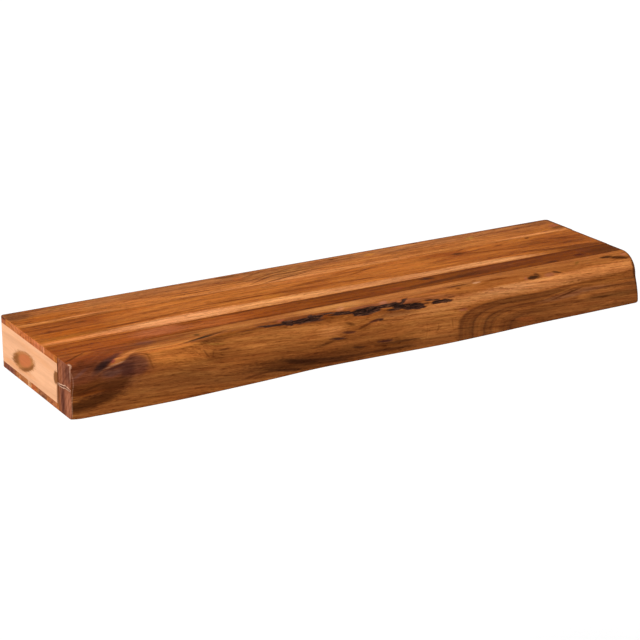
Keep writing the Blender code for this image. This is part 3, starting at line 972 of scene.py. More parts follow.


# Figure of the front board, with painted shade at its right end and a painted highlight on its left front
# arris: places along the shelf and up its face, round the crest, to its rear
FRONT_BOARD_FIGURE = (
    # Broad tones of the face, from the left end
    Mark(-450, 60, 76, 33, Stain.PURPLE, 0.92, turn=-4, soft=0.25, fray=0.25),
    Mark(-488, 86, 34, 13, (0.165, 0.040, 0.017), 0.80, turn=6),
    Mark(-478, 45, 36, 13, 0.14, 0.80, gold=0.1),
    Mark(-332, 72, 60, 24, (0.640, 0.196, 0.038), 0.95, turn=-3, soft=0.35),
    Mark(-340, 26, 90, 16, 0.30, 0.85, turn=-3, gold=0.8),
    Mark(-345, 43, 70, 7, 0.43, 0.66, turn=-3, gold=0.8),
    Mark(-255, 26, 58, 9, 0.42, 0.70, turn=-3, gold=0.9),
    Mark(-455, 8, 60, 9, 0.33, 0.85, turn=6, gold=0.8),
    Mark(-472, 22, 50, 8.6, 0.085, 0.94, turn=7, gold=0.3),
    Mark(-434, 40, 26, 10, 0.085, 0.88, turn=8, gold=0.2),
    Mark(-185, 64, 105, 16, 0.49, 0.85, turn=-4, gold=0.7),
    Mark(-262, 58, 34, 12, 0.31, 0.70, gold=0.6),
    Mark(-200, 42, 110, 9, 0.29, 0.80, turn=-3, gold=0.6),
    Mark(-50, 42, 60, 8, 0.27, 0.60, gold=0.8),
    Mark(-215, 13, 85, 9, 0.20, 0.60, gold=0.8),
    Mark(-110, 19, 135, 12, 0.130, 0.90, turn=-3),
    Mark(-50, 28, 60, 8, 0.16, 0.70),
    Mark(0, 40, 80, 8, 0.36, 0.60, soft=0.6, gold=0.7),
    Mark(100, 34, 52, 38, 0.465, 0.90, soft=0.4, gold=0.8),
    Mark(120, 9, 40, 10, 0.27, 0.70, gold=0.7),
    Mark(128, 43, 24, 10, 0.52, 0.60, gold=0.6),
    Mark(28, 15, 46, 11, 0.20, 0.90, turn=-5),
    Mark(60, 8, 36, 4, 0.31, 0.65, turn=-3, gold=0.9),
    Mark(60, 60, 75, 8, 0.56, 0.80, turn=2, gold=0.8),
    Mark(150, 65, 90, 9, 0.66, 0.85, turn=5),
    Mark(330, 76, 190, 11, 0.72, 0.92, turn=2, soft=0.45, gold=0.35),
    Mark(445, 80, 80, 12, 0.64, 0.85, turn=1, gold=0.7),
    Mark(245, 77, 48, 7, 0.82, 0.60, turn=2, gold=0.35),
    # The swirl of growth rings
    Swirl(306, 2.80, 3.5, 60.0,
          ((0, 0.26), (8, 0.26), (16, 0.26), (21, 0.23), (24, 0.14), (26.5, 0.21), (30, 0.22), (32.5, 0.29),
           (35.5, 0.32), (37.5, 0.17), (39, 0.27), (40, 0.23), (42, 0.14), (43.5, 0.27), (46, 0.31),
           (48.5, 0.25), (50, 0.14), (51.5, 0.22), (56, 0.23), (58.5, 0.16), (60, 0.26)), 290, 380, 3.5),
    Mark(450, 60, 85, 5.5, 0.40, 0.70, turn=1),
    Mark(452, 28, 52, 10, (0.270, 0.088, 0.020), 0.40),
    Mark(372, 45, 60, 6, (0.330, 0.118, 0.048), 0.52, turn=4),
    Mark(350, 26, 60, 9, 0.31, 0.50, turn=3, gold=0.7),
    Mark(386, 35, 13, 4, 0.50, 0.65, turn=6, gold=0.7),
    Mark(355, 46.5, 30, 1.5, 0.10, 0.80, turn=13, gold=0.2),
    Mark(345, 52, 36, 1.4, 0.44, 0.60, turn=12, gold=0.6),
    Mark(424, 28, 24, 1.7, 0.09, 0.80, turn=-3, gold=0.2),
    Mark(405, 61, 30, 2.2, 0.13, 0.70, turn=-3, gold=0.2),
    Mark(445, 52, 60, 3.0, 0.42, 0.60, turn=-2, gold=0.6),
    Mark(430, 40, 45, 3.5, 0.43, 0.65, turn=-2, gold=0.9),
    Mark(425, 12, 26, 1.6, 0.38, 0.60, turn=12, gold=0.7),
    Mark(270, 13, 16, 4.5, Stain.RED, 0.55, turn=-6),
    # Broad tones of the top strip
    Mark(-455, 108, 95, 24, (0.290, 0.064, 0.013), 0.92, turn=10),
    Mark(-467, 119, 17, 7, (0.430, 0.110, 0.016), 0.70, turn=4),
    Mark(-345, 113, 90, 10, 0.31, 0.75, turn=4, gold=0.7),
    Mark(-345, 96, 74, 8, 0.47, 0.85, turn=3, gold=0.7),
    Mark(-245, 112, 55, 10, (0.465, 0.172, 0.038), 0.80),
    Mark(-60, 112, 180, 12, 0.50, 0.88, gold=0.9),
    Mark(-60, 113, 52, 11, (0.620, 0.248, 0.066), 0.80),
    Mark(160, 112, 110, 11, 0.54, 0.80, gold=0.9),
    Mark(330, 110, 175, 13, 0.38, 0.85, gold=0.8),
    Mark(440, 110, 75, 12, 0.40, 0.75, gold=0.8),
    # The dark swirl at the left end with its light eye
    Mark(-405, 62, 22, 14, (0.190, 0.058, 0.028), 0.86, turn=-12, soft=0.30, fray=0.15),
    Mark(-417, 58, 12, 9, Stain.PLUM, 0.80, turn=-20),
    Mark(-440, 58, 14, 4.5, (0.130, 0.052, 0.040), 0.65),
    Mark(-402, 79.5, 20, 1.5, 0.10, 0.60, bow=-7, gold=0.1),
    Mark(-381, 63, 13, 1.5, 0.16, 0.40, turn=-65, gold=0.1),
    Mark(-409, 87, 18, 4.5, 0.62, 0.85, turn=32, soft=0.4, gold=0.4),
    Mark(-427, 75, 16, 5.5, 0.62, 0.95, turn=20, soft=0.3, fray=0.15, gold=0.3),
    Mark(-437, 75, 4.0, 2.8, (0.420, 0.075, 0.050), 0.80, turn=10),
    Mark(-436, 68.5, 15, 1.2, (0.560, 0.280, 0.150), 0.60, turn=8),
    Mark(-428, 65.5, 24, 1.7, Stain.PLUM, 0.92, turn=3, bow=-2),
    Mark(-441, 81, 33, 5.0, (0.068, 0.026, 0.020), 0.92, turn=35, soft=0.4, fray=0.3),
    Mark(-455, 69.5, 13, 4.8, (0.046, 0.020, 0.017), 0.75, turn=24),
    Mark(-429, 90, 12, 3.2, (0.085, 0.030, 0.022), 0.80, turn=42),
    Mark(-436, 80, 12, 2.4, (0.110, 0.032, 0.020), 0.70, turn=36),
    Mark(-408, 105, 14, 2.2, (0.330, 0.080, 0.055), 0.70, turn=45),
    Mark(-423, 106, 22, 3, Stain.RED, 0.70, turn=38),
    Mark(-478, 112, 26, 1.8, 0.13, 0.70, turn=32, gold=0.0),
    Mark(-490, 104, 16, 1.8, 0.11, 0.70, turn=34, gold=0.0),
    Mark(-462, 87, 30, 11, (0.140, 0.033, 0.011), 0.80, turn=12),
    Mark(-446, 103, 20, 1.8, (0.340, 0.095, 0.030), 0.55, turn=40),
    Mark(-482, 61, 20, 9, (0.240, 0.060, 0.022), 0.50, turn=10),
    Mark(-486, 67, 13, 2.2, (0.225, 0.082, 0.056), 0.60, turn=25),
    Mark(-480, 88, 9, 5, 0.06, 0.80, turn=50, gold=0.2),
    Mark(-403, 107, 36, 8, (0.235, 0.060, 0.014), 0.70, turn=6),
    Mark(-468, 44, 18, 1.8, 0.07, 0.70, turn=10, gold=0.2),
    Mark(-470, 35, 20, 2.2, 0.24, 0.60, turn=3, gold=0.2),
    Mark(-370, 114, 17, 7, (0.185, 0.055, 0.030), 0.78),
    Mark(-400, 105, 24, 8, (0.260, 0.066, 0.015), 0.75, turn=8),
    Mark(-320, 115, 60, 2.6, 0.24, 0.60, turn=5, gold=0.2),
    Mark(-448, 97, 62, 14, (0.215, 0.036, 0.003), 0.42, turn=8),
    # Painted highlight, partly a worn pale edge, down the front-left arris where it catches the light
    Mark(-498, 83, 2, 7, Stain.PALE, 0.60, turn=-10),
    Mark(-499.3, 62, 0.9, 16, (0.450, 0.190, 0.110), 0.45, fray=0.2),
    Mark(-499.3, 26, 0.9, 24, (0.420, 0.200, 0.120), 0.55, fray=0.2),
    # The step under the crest
    Mark(-288, 84, 32, 5.5, 0.24, 0.85, turn=-2, soft=0.4, gold=0.7),
    Mark(-288, 94.5, 38, 2.8, 0.06, 0.95, turn=13, fray=0.1, pit=0.5),
    Mark(-282, 96, 16, 3.2, (0.045, 0.020, 0.008), 0.90, turn=13),
    Mark(-291, 108, 4.5, 4, (0.150, 0.052, 0.008), 0.85, pit=0.3),
    Mark(-274, 75.5, 14, 1.4, (0.400, 0.165, 0.028), 0.60, turn=-6),
    Mark(-220, 90, 50, 6, (0.175, 0.047, 0.006), 0.70, turn=-1),
    Mark(-245, 97, 40, 2.6, 0.24, 0.65, turn=-4, gold=0.5),
    Mark(-262, 65, 10, 1.6, 0.12, 0.75, turn=4),
    Mark(-292, 60, 7, 1.5, 0.20, 0.65, turn=-60),
    Mark(-281, 60, 6, 1.4, 0.22, 0.60, turn=70),
    # Small dark checks in the middle of the face
    Mark(-150, 76, 95, 6.5, 0.53, 0.75, turn=-4, gold=0.6),
    Mark(-82, 61, 20, 8, 0.64, 0.75, turn=-6, gold=0.7),
    Mark(30, 66, 28, 4.5, (0.215, 0.072, 0.030), 0.45, turn=-6),
    Mark(-92, 43, 14, 2.0, 0.14, 0.85, turn=6, pit=0.3),
    Mark(-71, 47, 13, 2.0, (0.050, 0.018, 0.014), 0.90, turn=-9, pit=0.4),
    Mark(-52, 53, 12, 2.0, Stain.PLUM, 0.85, turn=-8, pit=0.4),
    Mark(-50, 66, 9, 2.2, 0.17, 0.80, turn=-25),
    Mark(-24, 58, 12, 2.2, 0.15, 0.85, turn=14, pit=0.3),
    Mark(-5, 62.5, 11, 2.2, Stain.PLUM, 0.88, turn=4, pit=0.4),
    Mark(3, 61.5, 3.5, 2, Stain.BARK, 0.80),
    Mark(-36, 26, 11, 2.0, 0.06, 0.88, turn=-10, pit=0.3),
    Mark(11, 26, 14, 2.0, Stain.PLUM, 0.88, turn=-6, pit=0.4),
    Mark(32, 56, 13, 1.3, 0.18, 0.75, turn=-8),
    Mark(14, 59, 10, 1.3, 0.18, 0.65, turn=-4),
    Mark(-137, 22, 32, 4.2, 0.055, 0.85, turn=-11),
    Mark(-88, 16, 34, 3.5, 0.07, 0.80, turn=-8),
    Mark(-185, 27, 22, 4, 0.16, 0.60, turn=-4),
    Mark(-160, 12, 28, 2.4, 0.07, 0.80, turn=-8),
    Mark(-208, 13, 26, 1.8, 0.12, 0.75, turn=6),
    Mark(103, 26, 6, 1.5, 0.22, 0.60, turn=62, bow=2),
    Mark(107, 28, 4, 1.2, 0.24, 0.50, turn=20),
    Mark(130, 30, 8, 1.4, 0.24, 0.55, turn=86),
    Mark(82, 24, 14, 1.2, 0.32, 0.40, turn=84),
    Mark(152, 50, 8, 3, (0.330, 0.090, 0.045), 0.60),
    Mark(-30, 14, 60, 1.8, 0.09, 0.65, turn=-4),
    Mark(32, 20, 40, 1.8, 0.09, 0.75, turn=-5),
    Mark(24, 11, 36, 2.4, 0.09, 0.60, turn=-5),
    # Dark and light spots of the top strip
    Mark(-57, 101, 12, 5, Stain.PINK, 0.55, turn=50),
    Mark(-122, 94, 84, 9, (0.155, 0.030, 0.003), 0.86, turn=-5),
    Mark(-150, 103, 45, 5, (0.250, 0.075, 0.018), 0.65),
    Mark(-160, 100, 8, 4.5, (0.420, 0.110, 0.045), 0.70, turn=30),
    Mark(-20, 92, 27, 6, (0.220, 0.064, 0.026), 0.75, turn=-3),
    Mark(12, 94, 9, 5, (0.520, 0.190, 0.105), 0.65, turn=40),
    Mark(38, 86, 34, 8, (0.270, 0.080, 0.038), 0.60, turn=-8),
    Mark(100, 83, 45, 5, (0.320, 0.096, 0.036), 0.50, turn=-6),
    Mark(115, 103, 60, 3.2, (0.290, 0.080, 0.014), 0.65),
    Mark(235, 102, 40, 3.6, (0.300, 0.080, 0.013), 0.70, turn=-2),
    Mark(152, 104.5, 20, 2.4, 0.13, 0.88, gold=0.1),
    Mark(107, 100.5, 7, 2.6, 0.22, 0.75),
    Mark(80, 88, 12, 2.0, 0.28, 0.60, turn=-10),
    Mark(10, 104, 9, 2.4, 0.30, 0.60, turn=10),
    Mark(150, 95, 5, 1.8, 0.12, 0.85, gold=0.1),
    Mark(189, 103.5, 7, 2.6, (0.780, 0.380, 0.180), 0.80, turn=3),
    Mark(190, 112, 6, 2.4, 0.25, 0.80, turn=30),
    Mark(224, 103, 22, 2.4, 0.18, 0.80, gold=0.2),
    Mark(203, 97, 12, 2.4, 0.25, 0.70, turn=8, gold=0.2),
    Mark(296, 92, 13, 4.4, 0.045, 0.95, soft=0.4, fray=0.4, pit=0.4, gold=0.9),
    Mark(304, 98.5, 5, 2.4, 0.06, 0.80, turn=-20),
    Mark(281, 92, 3, 5, (0.430, 0.120, 0.052), 0.60, turn=-10),
    Mark(327, 91, 10, 5, (0.360, 0.115, 0.058), 0.60),
    Mark(343, 94, 9, 2.2, 0.08, 0.90, turn=-22),
    Mark(390, 108.5, 6, 3, (0.210, 0.078, 0.012), 0.80, turn=30),
    Mark(451, 110, 12, 3.2, 0.05, 0.94, turn=-5, soft=0.45, pit=0.3, gold=0.1),
    Mark(474, 102, 19, 4.0, 0.07, 0.92, turn=-15, soft=0.45, gold=0.1),
    Mark(486, 109, 5, 4, (0.440, 0.135, 0.065), 0.60),
    # Painted shade: a dark band at the rounded right end, which turns away from the light
    Mark(499, 85, 4.5, 60, 0.09, 0.85, soft=0.4, fray=0.5),
)
BARK_POCKETS = (
    Oval(-222, 89.5, 14, 1.4, turn=-3, fray=0.3, pit=0.6),
    Oval(-182, 91, 24, 3.0, turn=-8, soft=0.45, fray=0.3, pit=1.2),
    Oval(-150, 91, 10, 6.4, turn=-4, soft=0.35, fray=0.18, pit=2.6),
    Oval(-129, 90, 12, 6.0, turn=-4, soft=0.40, fray=0.22, pit=1.9),
    Oval(-106, 91.5, 12, 6.8, turn=-4, soft=0.35, fray=0.2, pit=2.3),
    Oval(-128, 87, 36, 3.2, turn=-4, soft=0.45, pit=1.3),
    Oval(-72, 92, 30, 2.8, turn=-14, soft=0.45, pit=1.6),
    Oval(-60, 85.5, 20, 1.8, turn=-6, pit=1.2),
    Oval(-20, 82.5, 22, 7.6, turn=-2, soft=0.28, fray=0.14, pit=3.0),
    Oval(12, 83.5, 13, 4.6, turn=-8, soft=0.35, fray=0.2, pit=2.0),
    Oval(32, 80, 13, 4.6, turn=-14, soft=0.35, fray=0.2, pit=2.2),
    Oval(45, 87.5, 10, 3.2, turn=36, soft=0.6, fray=0.3, pit=1.3),
    Oval(29, 87, 8, 3.0, turn=0, fray=0.3, pit=1.0),
    Oval(57, 72.5, 20, 5.2, turn=-8, soft=0.30, fray=0.15, pit=2.8),
    Oval(24, 73.5, 12, 1.6, turn=-8, fray=0.3, pit=1.0),
    Oval(108, 71, 18, 3.2, turn=-4, soft=0.40, fray=0.3, pit=1.7),
    Oval(96, 77, 12, 1.8, turn=-8, fray=0.3, pit=1.1),
    Oval(83, 73, 9, 1.3, turn=-6, fray=0.3, pit=0.8),
    Oval(130, 76.5, 6, 1.2, turn=-4, fray=0.3, pit=0.7),
)
# The sawn left end of the front board: places up it and out from the wall
FRONT_BOARD_END_MARKS = (
    Mark(0, 230, 60, 34, Stain.MAUVE, 0.80, soft=0.3),
    Mark(-18, 220, 25, 7, Stain.PLUM, 0.72, soft=0.5),
    Mark(-18, 240, 20, 8, (0.470, 0.170, 0.085), 0.55, soft=0.5),
    Mark(27, 241, 13, 9, Stain.PLUM, 0.60, soft=0.6),
    Mark(20, 226, 16, 3, Stain.PLUM, 0.45, soft=0.6),
    Mark(18, 216, 20, 3.5, (0.400, 0.130, 0.050), 0.50, soft=0.6),
    Mark(-24, 211, 16, 3.0, (0.440, 0.150, 0.060), 0.60, soft=0.6),
    Mark(2, 206.5, 48, 2.6, 0.15, 0.80, gold=0.1),
    Mark(2.2, 225, 27, 1.7, Stain.PLUM, 0.70, turn=86, bow=1.5, soft=0.5),
    Mark(4.8, 226, 28, 0.75, Stain.PALE, 0.95, turn=85, bow=2.4, fray=0.3),
    Mark(0.8, 226, 26, 0.70, Stain.PALE, 0.80, turn=86, bow=-1.2, fray=0.4),
    # Painted highlight, partly a worn pale edge, down the front arris of the left end where it catches the
    # light
    Mark(30, 249, 12, 1.4, Stain.PALE, 0.75, soft=0.5),
    Mark(4, 250, 22, 1.0, (0.560, 0.280, 0.170), 0.50),
    Mark(-28, 250, 12, 1.2, Stain.PALE, 0.60, soft=0.6),
)
# The sawn left ends of the staves: places up them and out from the wall
SKIN_END_MARKS = (
    Mark(35, 110, 9, 60, (0.560, 0.142, 0.046), 0.70),
    Mark(35, 52, 9, 18, (0.660, 0.215, 0.078), 0.65),
    Mark(35, 88, 9, 9, (0.600, 0.170, 0.050), 0.65),
    Mark(35, 134, 9, 12, (0.640, 0.190, 0.080), 0.65),
    Mark(35, 156, 9, 6, (0.720, 0.260, 0.120), 0.75),
    Mark(35, 182, 9, 16, (0.560, 0.150, 0.046), 0.65),
    Mark(35, 10, 9, 11, (0.380, 0.100, 0.050), 0.70),
    Mark(39, 8, 2.5, 12, (0.060, 0.022, 0.018), 0.80),
    Mark(-35, 28, 9, 25, (0.195, 0.064, 0.046), 0.88),
    Mark(-35, 74, 9, 19, (0.520, 0.195, 0.075), 0.70),
    Mark(-34, 102, 9, 6, (0.800, 0.420, 0.210), 0.75),
    Mark(-35, 118, 9, 8, (0.550, 0.135, 0.046), 0.80),
    Mark(-35, 148, 9, 18, (0.340, 0.130, 0.064), 0.75),
    Mark(-37, 152, 2, 9, (0.120, 0.045, 0.025), 0.70),
    Mark(-35, 186, 9, 16, (0.440, 0.145, 0.064), 0.70),
)

# Figure of the staves, with painted shade along the rear arris and at the right end: places along the shelf
# and out from the wall
BACK_STAVE_MARKS = (
    Mark(0, 14, 900, 18, (0.410, 0.150, 0.050), 0.55),
    Mark(-60, 52, 430, 17, 0.53, 0.60, gold=0.4),
    Mark(-400, 61.5, 90, 3.6, 0.68, 0.85, gold=0.4),
    Mark(-280, 58, 80, 8, (0.620, 0.190, 0.036), 0.70),
    Mark(-55, 48, 60, 12, 0.72, 0.62, gold=0.8),
    Mark(445, 50, 50, 9, (0.370, 0.100, 0.014), 0.45),
    Mark(-160, 64, 90, 5, 0.64, 0.70, gold=0.6),
    Mark(-446, 46, 55, 15, (0.480, 0.118, 0.008), 0.55),
    Mark(-235, 43, 38, 2.2, 0.32, 0.65),
    Mark(-388, 20, 12, 8, (0.500, 0.125, 0.022), 0.50),
    Mark(-422, 16, 12, 6, Stain.OLIVE, 0.50),
    Mark(-118, 26, 11, 6, (0.520, 0.125, 0.022), 0.60),
    Mark(-130, 10, 15, 4, 0.14, 0.65, gold=0.2),
    Mark(-430, 12, 60, 12, (0.400, 0.118, 0.026), 0.50),
    Mark(-300, 38, 130, 9, (0.560, 0.170, 0.040), 0.40),
    Mark(-55, 34, 62, 20, (0.410, 0.155, 0.038), 0.50, turn=-10),
    Mark(-34, 63, 52, 9.5, 0.70, 0.80, turn=-6, soft=0.4, fray=0.15, gold=0.4),
    Mark(-48, 55, 52, 2.2, 0.17, 0.88, turn=-10, bow=2.5),
    Mark(-30, 37, 42, 2.2, 0.17, 0.85, turn=-3),
    Mark(-62, 29, 48, 2.0, 0.19, 0.80, turn=-16, bow=2),
    Mark(-80, 44, 38, 1.9, 0.19, 0.80, turn=-22, bow=2),
    Mark(-20, 46, 52, 1.8, 0.20, 0.75, turn=-6),
    Mark(-88, 18, 34, 1.8, 0.19, 0.72, turn=-20),
    Mark(28, 63, 62, 9, 0.64, 0.85, soft=0.4, fray=0.15, gold=0.8),
    Mark(115, 62, 60, 6, 0.64, 0.80, soft=0.4, gold=0.5),
    Mark(45, 12, 50, 2.2, 0.24, 0.70, turn=-4),
    Mark(57, 13, 6, 3.5, 0.14, 0.80, gold=0.1),
    Mark(75, 22, 40, 1.8, 0.26, 0.75, turn=-2),
    Mark(124, 22, 10, 5, (0.520, 0.180, 0.022), 0.65),
    Mark(155, 30, 16, 2.2, 0.26, 0.70, turn=8),
    Mark(155, 57, 5, 2.4, 0.24, 0.65),
    Mark(219, 6, 7, 3, 0.12, 0.70, gold=0.1),
    Mark(300, 33, 120, 2.2, 0.30, 0.60, bow=3),
    Mark(318, 27, 12, 4.5, (0.420, 0.210, 0.030), 0.50, turn=-30),
    Mark(350, 22, 26, 2, 0.24, 0.75, turn=-12),
    Mark(335, 42, 70, 9, 0.52, 0.65, turn=-3),
    Mark(415, 41, 32, 2.6, 0.31, 0.65),
    Mark(380, 60, 32, 2.0, 0.34, 0.55, turn=4),
    Mark(430, 62.5, 78, 4.0, 0.70, 0.90, gold=0.4),
    Mark(440, 25, 70, 14, 0.34, 0.60),
    Mark(465, 8, 36, 5, 0.15, 0.70, turn=2, gold=0.4),
    Mark(483, 50, 15, 6, 0.12, 0.80, turn=-10, gold=0.4),
    Mark(484, 37, 9, 5, (0.380, 0.090, 0.050), 0.65, turn=-25),
    Mark(-486, 21, 20, 18, 0.18, 0.78, gold=0.9),
    # Painted shade: a dark band along the rounded rear arris, where it turns away from the light
    Mark(0, 0, 900, 3.8, 0.13, 0.78, fray=0.6),
    # Painted shade: a dark band at the rounded right end, which turns away from the light
    Mark(499, 40, 5.5, 300, 0.11, 0.85, soft=0.4, fray=0.6),
)
MIDDLE_STAVE_MARKS = tuple(replace(mark, gold=0.05) for mark in (
    Mark(-440, 92, 85, 24, (0.320, 0.073, 0.011), 0.75),
    Mark(-420, 72, 95, 3.0, 0.23, 0.78),
    Mark(-450, 88, 45, 2.0, 0.18, 0.80),
    Mark(-411, 88, 9, 2.4, 0.11, 0.85),
    Mark(-458, 108, 30, 2.6, 0.22, 0.70),
    Mark(-390, 93, 17, 9, (0.280, 0.060, 0.009), 0.65),
    Mark(-343, 84, 52, 13, (0.390, 0.086, 0.010), 0.45),
    Mark(-440, 122, 60, 9, (0.400, 0.088, 0.006), 0.65),
    Mark(-450, 136, 55, 5, (0.330, 0.095, 0.010), 0.75),
    Mark(-290, 100, 80, 20, 0.52, 0.65),
    Mark(-310, 125, 80, 2.4, 0.27, 0.80, turn=-4),
    Mark(-140, 115, 85, 2.8, 0.26, 0.80, turn=1),
    Mark(-183, 113.5, 18, 2.6, 0.20, 0.75),
    Mark(-132, 115, 9, 2.8, 0.19, 0.75),
    Mark(-212, 99, 7, 3, 0.25, 0.75),
    Mark(-170, 92, 110, 10, 0.50, 0.55),
    Mark(-112, 131, 18, 8, (0.600, 0.195, 0.022), 0.50),
    Mark(-60, 78, 80, 6, 0.58, 0.60),
    Mark(-18, 98, 46, 4.6, 0.24, 0.78, turn=-3),
    Mark(62, 90, 34, 2.4, 0.23, 0.80, turn=-16),
    Mark(-50, 118, 60, 4.0, 0.27, 0.75),
    Mark(35, 122, 42, 2.6, 0.22, 0.80, turn=6),
    Mark(52, 74, 34, 1.8, 0.26, 0.70, turn=-11),
    Mark(140, 79, 16, 5, (0.520, 0.140, 0.025), 0.55),
    Mark(140, 132, 70, 2.0, 0.33, 0.60, turn=3),
    Mark(228, 80, 36, 11, (0.280, 0.058, 0.006), 0.60),
    Mark(255, 90, 26, 12, (0.240, 0.055, 0.010), 0.75),
    Mark(253, 89, 9.5, 5.2, (0.066, 0.020, 0.004), 0.93, fray=0.3, pit=0.3),
    Mark(274, 72, 20, 2.0, 0.20, 0.80, turn=-26),
    Mark(300, 102, 46, 2.4, 0.18, 0.85, turn=9),
    Mark(365, 114, 28, 2.2, 0.19, 0.80, turn=6),
    Mark(335, 84.5, 9, 2.6, 0.13, 0.85, turn=-8),
    Mark(399, 73, 7, 3.6, 0.14, 0.85, turn=-50),
    Mark(402, 92, 9, 3, 0.17, 0.75, turn=10),
    Mark(440, 108, 70, 26, (0.255, 0.060, 0.008), 0.72, turn=5),
    Mark(447, 102, 40, 2.4, 0.16, 0.80, turn=24),
    Mark(452, 100, 17, 3.5, 0.15, 0.70, turn=20),
    Mark(415, 110, 40, 2.2, 0.22, 0.70, turn=16),
    Mark(440, 124, 50, 2.2, 0.20, 0.70, turn=18),
    Mark(300, 129, 55, 2.2, 0.26, 0.75, turn=2),
    Mark(385, 140, 60, 3.0, 0.20, 0.80, turn=12),
    Mark(430, 148, 60, 7, 0.17, 0.75, turn=6),
    Mark(345, 105, 165, 30, (0.290, 0.068, 0.008), 0.30),
    Mark(-420, 152, 100, 6, (0.680, 0.218, 0.060), 0.88, soft=0.4),
    Mark(-270, 148, 125, 13, (0.860, 0.345, 0.130), 0.94, soft=0.45),
    Mark(-95, 149, 110, 12, (0.780, 0.315, 0.102), 0.90, soft=0.45),
    Mark(110, 152, 170, 9.5, (0.720, 0.285, 0.098), 0.92, soft=0.45),
    Mark(270, 152, 86, 9, (0.730, 0.300, 0.102), 0.90, turn=3, soft=0.45),
    Mark(450, 157, 60, 8, 0.15, 0.80),
    # Painted shade: a dark band at the rounded right end, which turns away from the light
    Mark(499, 115, 5.5, 300, 0.09, 0.85, soft=0.4, fray=0.6),
))
FRONT_STAVE_MARKS = tuple(replace(mark, gold=0.0) for mark in (
    Mark(-430, 184, 105, 30, (0.370, 0.084, 0.013), 0.85),
    Mark(-440, 171, 75, 7, 0.42, 0.60),
    Mark(-440, 165, 75, 2.0, 0.27, 0.65),
    Mark(-325, 181, 48, 14, (0.470, 0.130, 0.044), 0.75),
    Mark(-235, 188, 52, 16, (0.480, 0.125, 0.026), 0.85),
    Mark(-200, 174, 90, 7, (0.360, 0.084, 0.012), 0.70),
    Mark(-280, 174, 18, 5, 0.24, 0.70),
    Mark(-160, 166, 80, 3, 0.19, 0.70),
    Mark(-145, 190, 70, 13, (0.330, 0.075, 0.008), 0.75),
    Mark(-120, 184, 40, 4, 0.20, 0.60),
    Mark(0, 166, 100, 5, 0.12, 0.75),
    Mark(70, 165.2, 270, 2.0, 0.09, 0.60),
    Mark(30, 186, 80, 14, 0.24, 0.70),
    Mark(66, 190, 13, 5, (0.260, 0.048, 0.014), 0.60),
    Mark(135, 173, 13, 5, 0.040, 0.92, turn=6, fray=0.35),
    Mark(160, 191, 92, 6, 0.095, 0.88, turn=-4),
    Mark(200, 175, 50, 6, 0.19, 0.60),
    Mark(230, 184, 60, 7, 0.12, 0.65),
    Mark(280, 178, 50, 10, (0.200, 0.044, 0.012), 0.65),
    Mark(330, 186, 90, 14, 0.19, 0.60),
    Mark(356, 200, 12, 3.5, 0.06, 0.80),
    Mark(300, 166, 200, 3.5, 0.12, 0.65),
    Mark(416, 191, 10, 4.5, (0.080, 0.012, 0.004), 0.88, fray=0.3),
    Mark(442, 175, 16, 7, (0.170, 0.046, 0.020), 0.60),
    Mark(475, 184, 40, 22, (0.105, 0.026, 0.002), 0.80),
    Mark(410, 176, 100, 14, (0.150, 0.026, 0.001), 0.35),
    Mark(0, 203.5, 900, 1.8, 0.11, 0.50),
    # Painted shade: a dark band at the rounded right end, which turns away from the light
    Mark(499, 185, 5.5, 300, 0.05, 0.85, soft=0.4, fray=0.6),
))
# The cheek: places out from the wall and up
CHEEK_MARKS = (
    Mark(130, 18, 70, 5, 0.90, 0.35, turn=-3, soft=0.6, gold=1.0),
    Mark(60, -22, 60, 4, 0.76, 0.45, turn=2, soft=0.6, gold=1.0),
    Mark(84, -5, 40, 14.5, Stain.RIM, 0.92, turn=12, soft=0.20, fray=0.18),
    Mark(98, -13, 27, 3.4, Stain.RIM_SHADE, 0.88, turn=24, bow=3, fray=0.15),
    Mark(58, -10, 15, 7.5, Stain.RIM_SHADE, 0.78, turn=16, fray=0.3),
    Mark(88, -3, 24, 10.0, Stain.HEART, 0.94, turn=16, soft=0.30, fray=0.12),
    Mark(80, 6, 18, 1.6, (0.560, 0.200, 0.060), 0.60, turn=14),
    Mark(199, 8, 7.5, 10, Stain.RIM_SHADE, 0.94, turn=-12, soft=0.25, fray=0.2),
    Mark(206, -14, 5.5, 44, 0.20, 0.85, turn=-4, soft=0.25, fray=0.1, gold=0.2),
)


def new_mesh(name: str, points: Sequence[Point], faces: Sequence[Sequence[int]]) -> bpy.types.Mesh:
    """Make a mesh with its faces pointing outwards.

    Args:
        name: The mesh's name.
        points: Its points in metres.
        faces: Its faces as numbers of points.

    Returns:
        The mesh.
    """
    mesh = bpy.data.meshes.new(name)
    mesh.from_pydata(points, [], faces)
    solid = bmesh.new()
    solid.from_mesh(mesh)
    bmesh.ops.recalc_face_normals(solid, faces=solid.faces)
    solid.to_mesh(mesh)
    solid.free()
    return mesh


def loft_faces(rings: int, count: int, skipped: int | None = None) -> list[tuple[int, ...]]:
    """List the faces between outlines that follow one another, with both ends closed.

    Args:
        rings: How many outlines there are.
        count: How many points each has.
        skipped: The strip to leave open, by the number of its first point.

    Returns:
        The faces as numbers of points.
    """
    faces: list[tuple[int, ...]] = []
    for ring in range(rings - 1):
        start = ring * count
        for index in range(count):
            if index != skipped:
                after = (index + 1) % count
                faces.append((start + index, start + after, start + count + after, start + count + index))
    faces.append(tuple(range(count)))
    faces.append(tuple(range((rings - 1) * count, rings * count)))
    return faces


def quarter(step: int, steps: int) -> float:
    """Return the angle that one step of a quarter round stands at."""
    return step / steps * math.pi / 2


def round_inset(near: float, arris: float) -> float:
    """Return how far a round of the given radius draws an outline in, at a distance from the end."""
    return arris - math.sqrt(max(arris ** 2 - max(arris - near, 0.0) ** 2, 0.0))


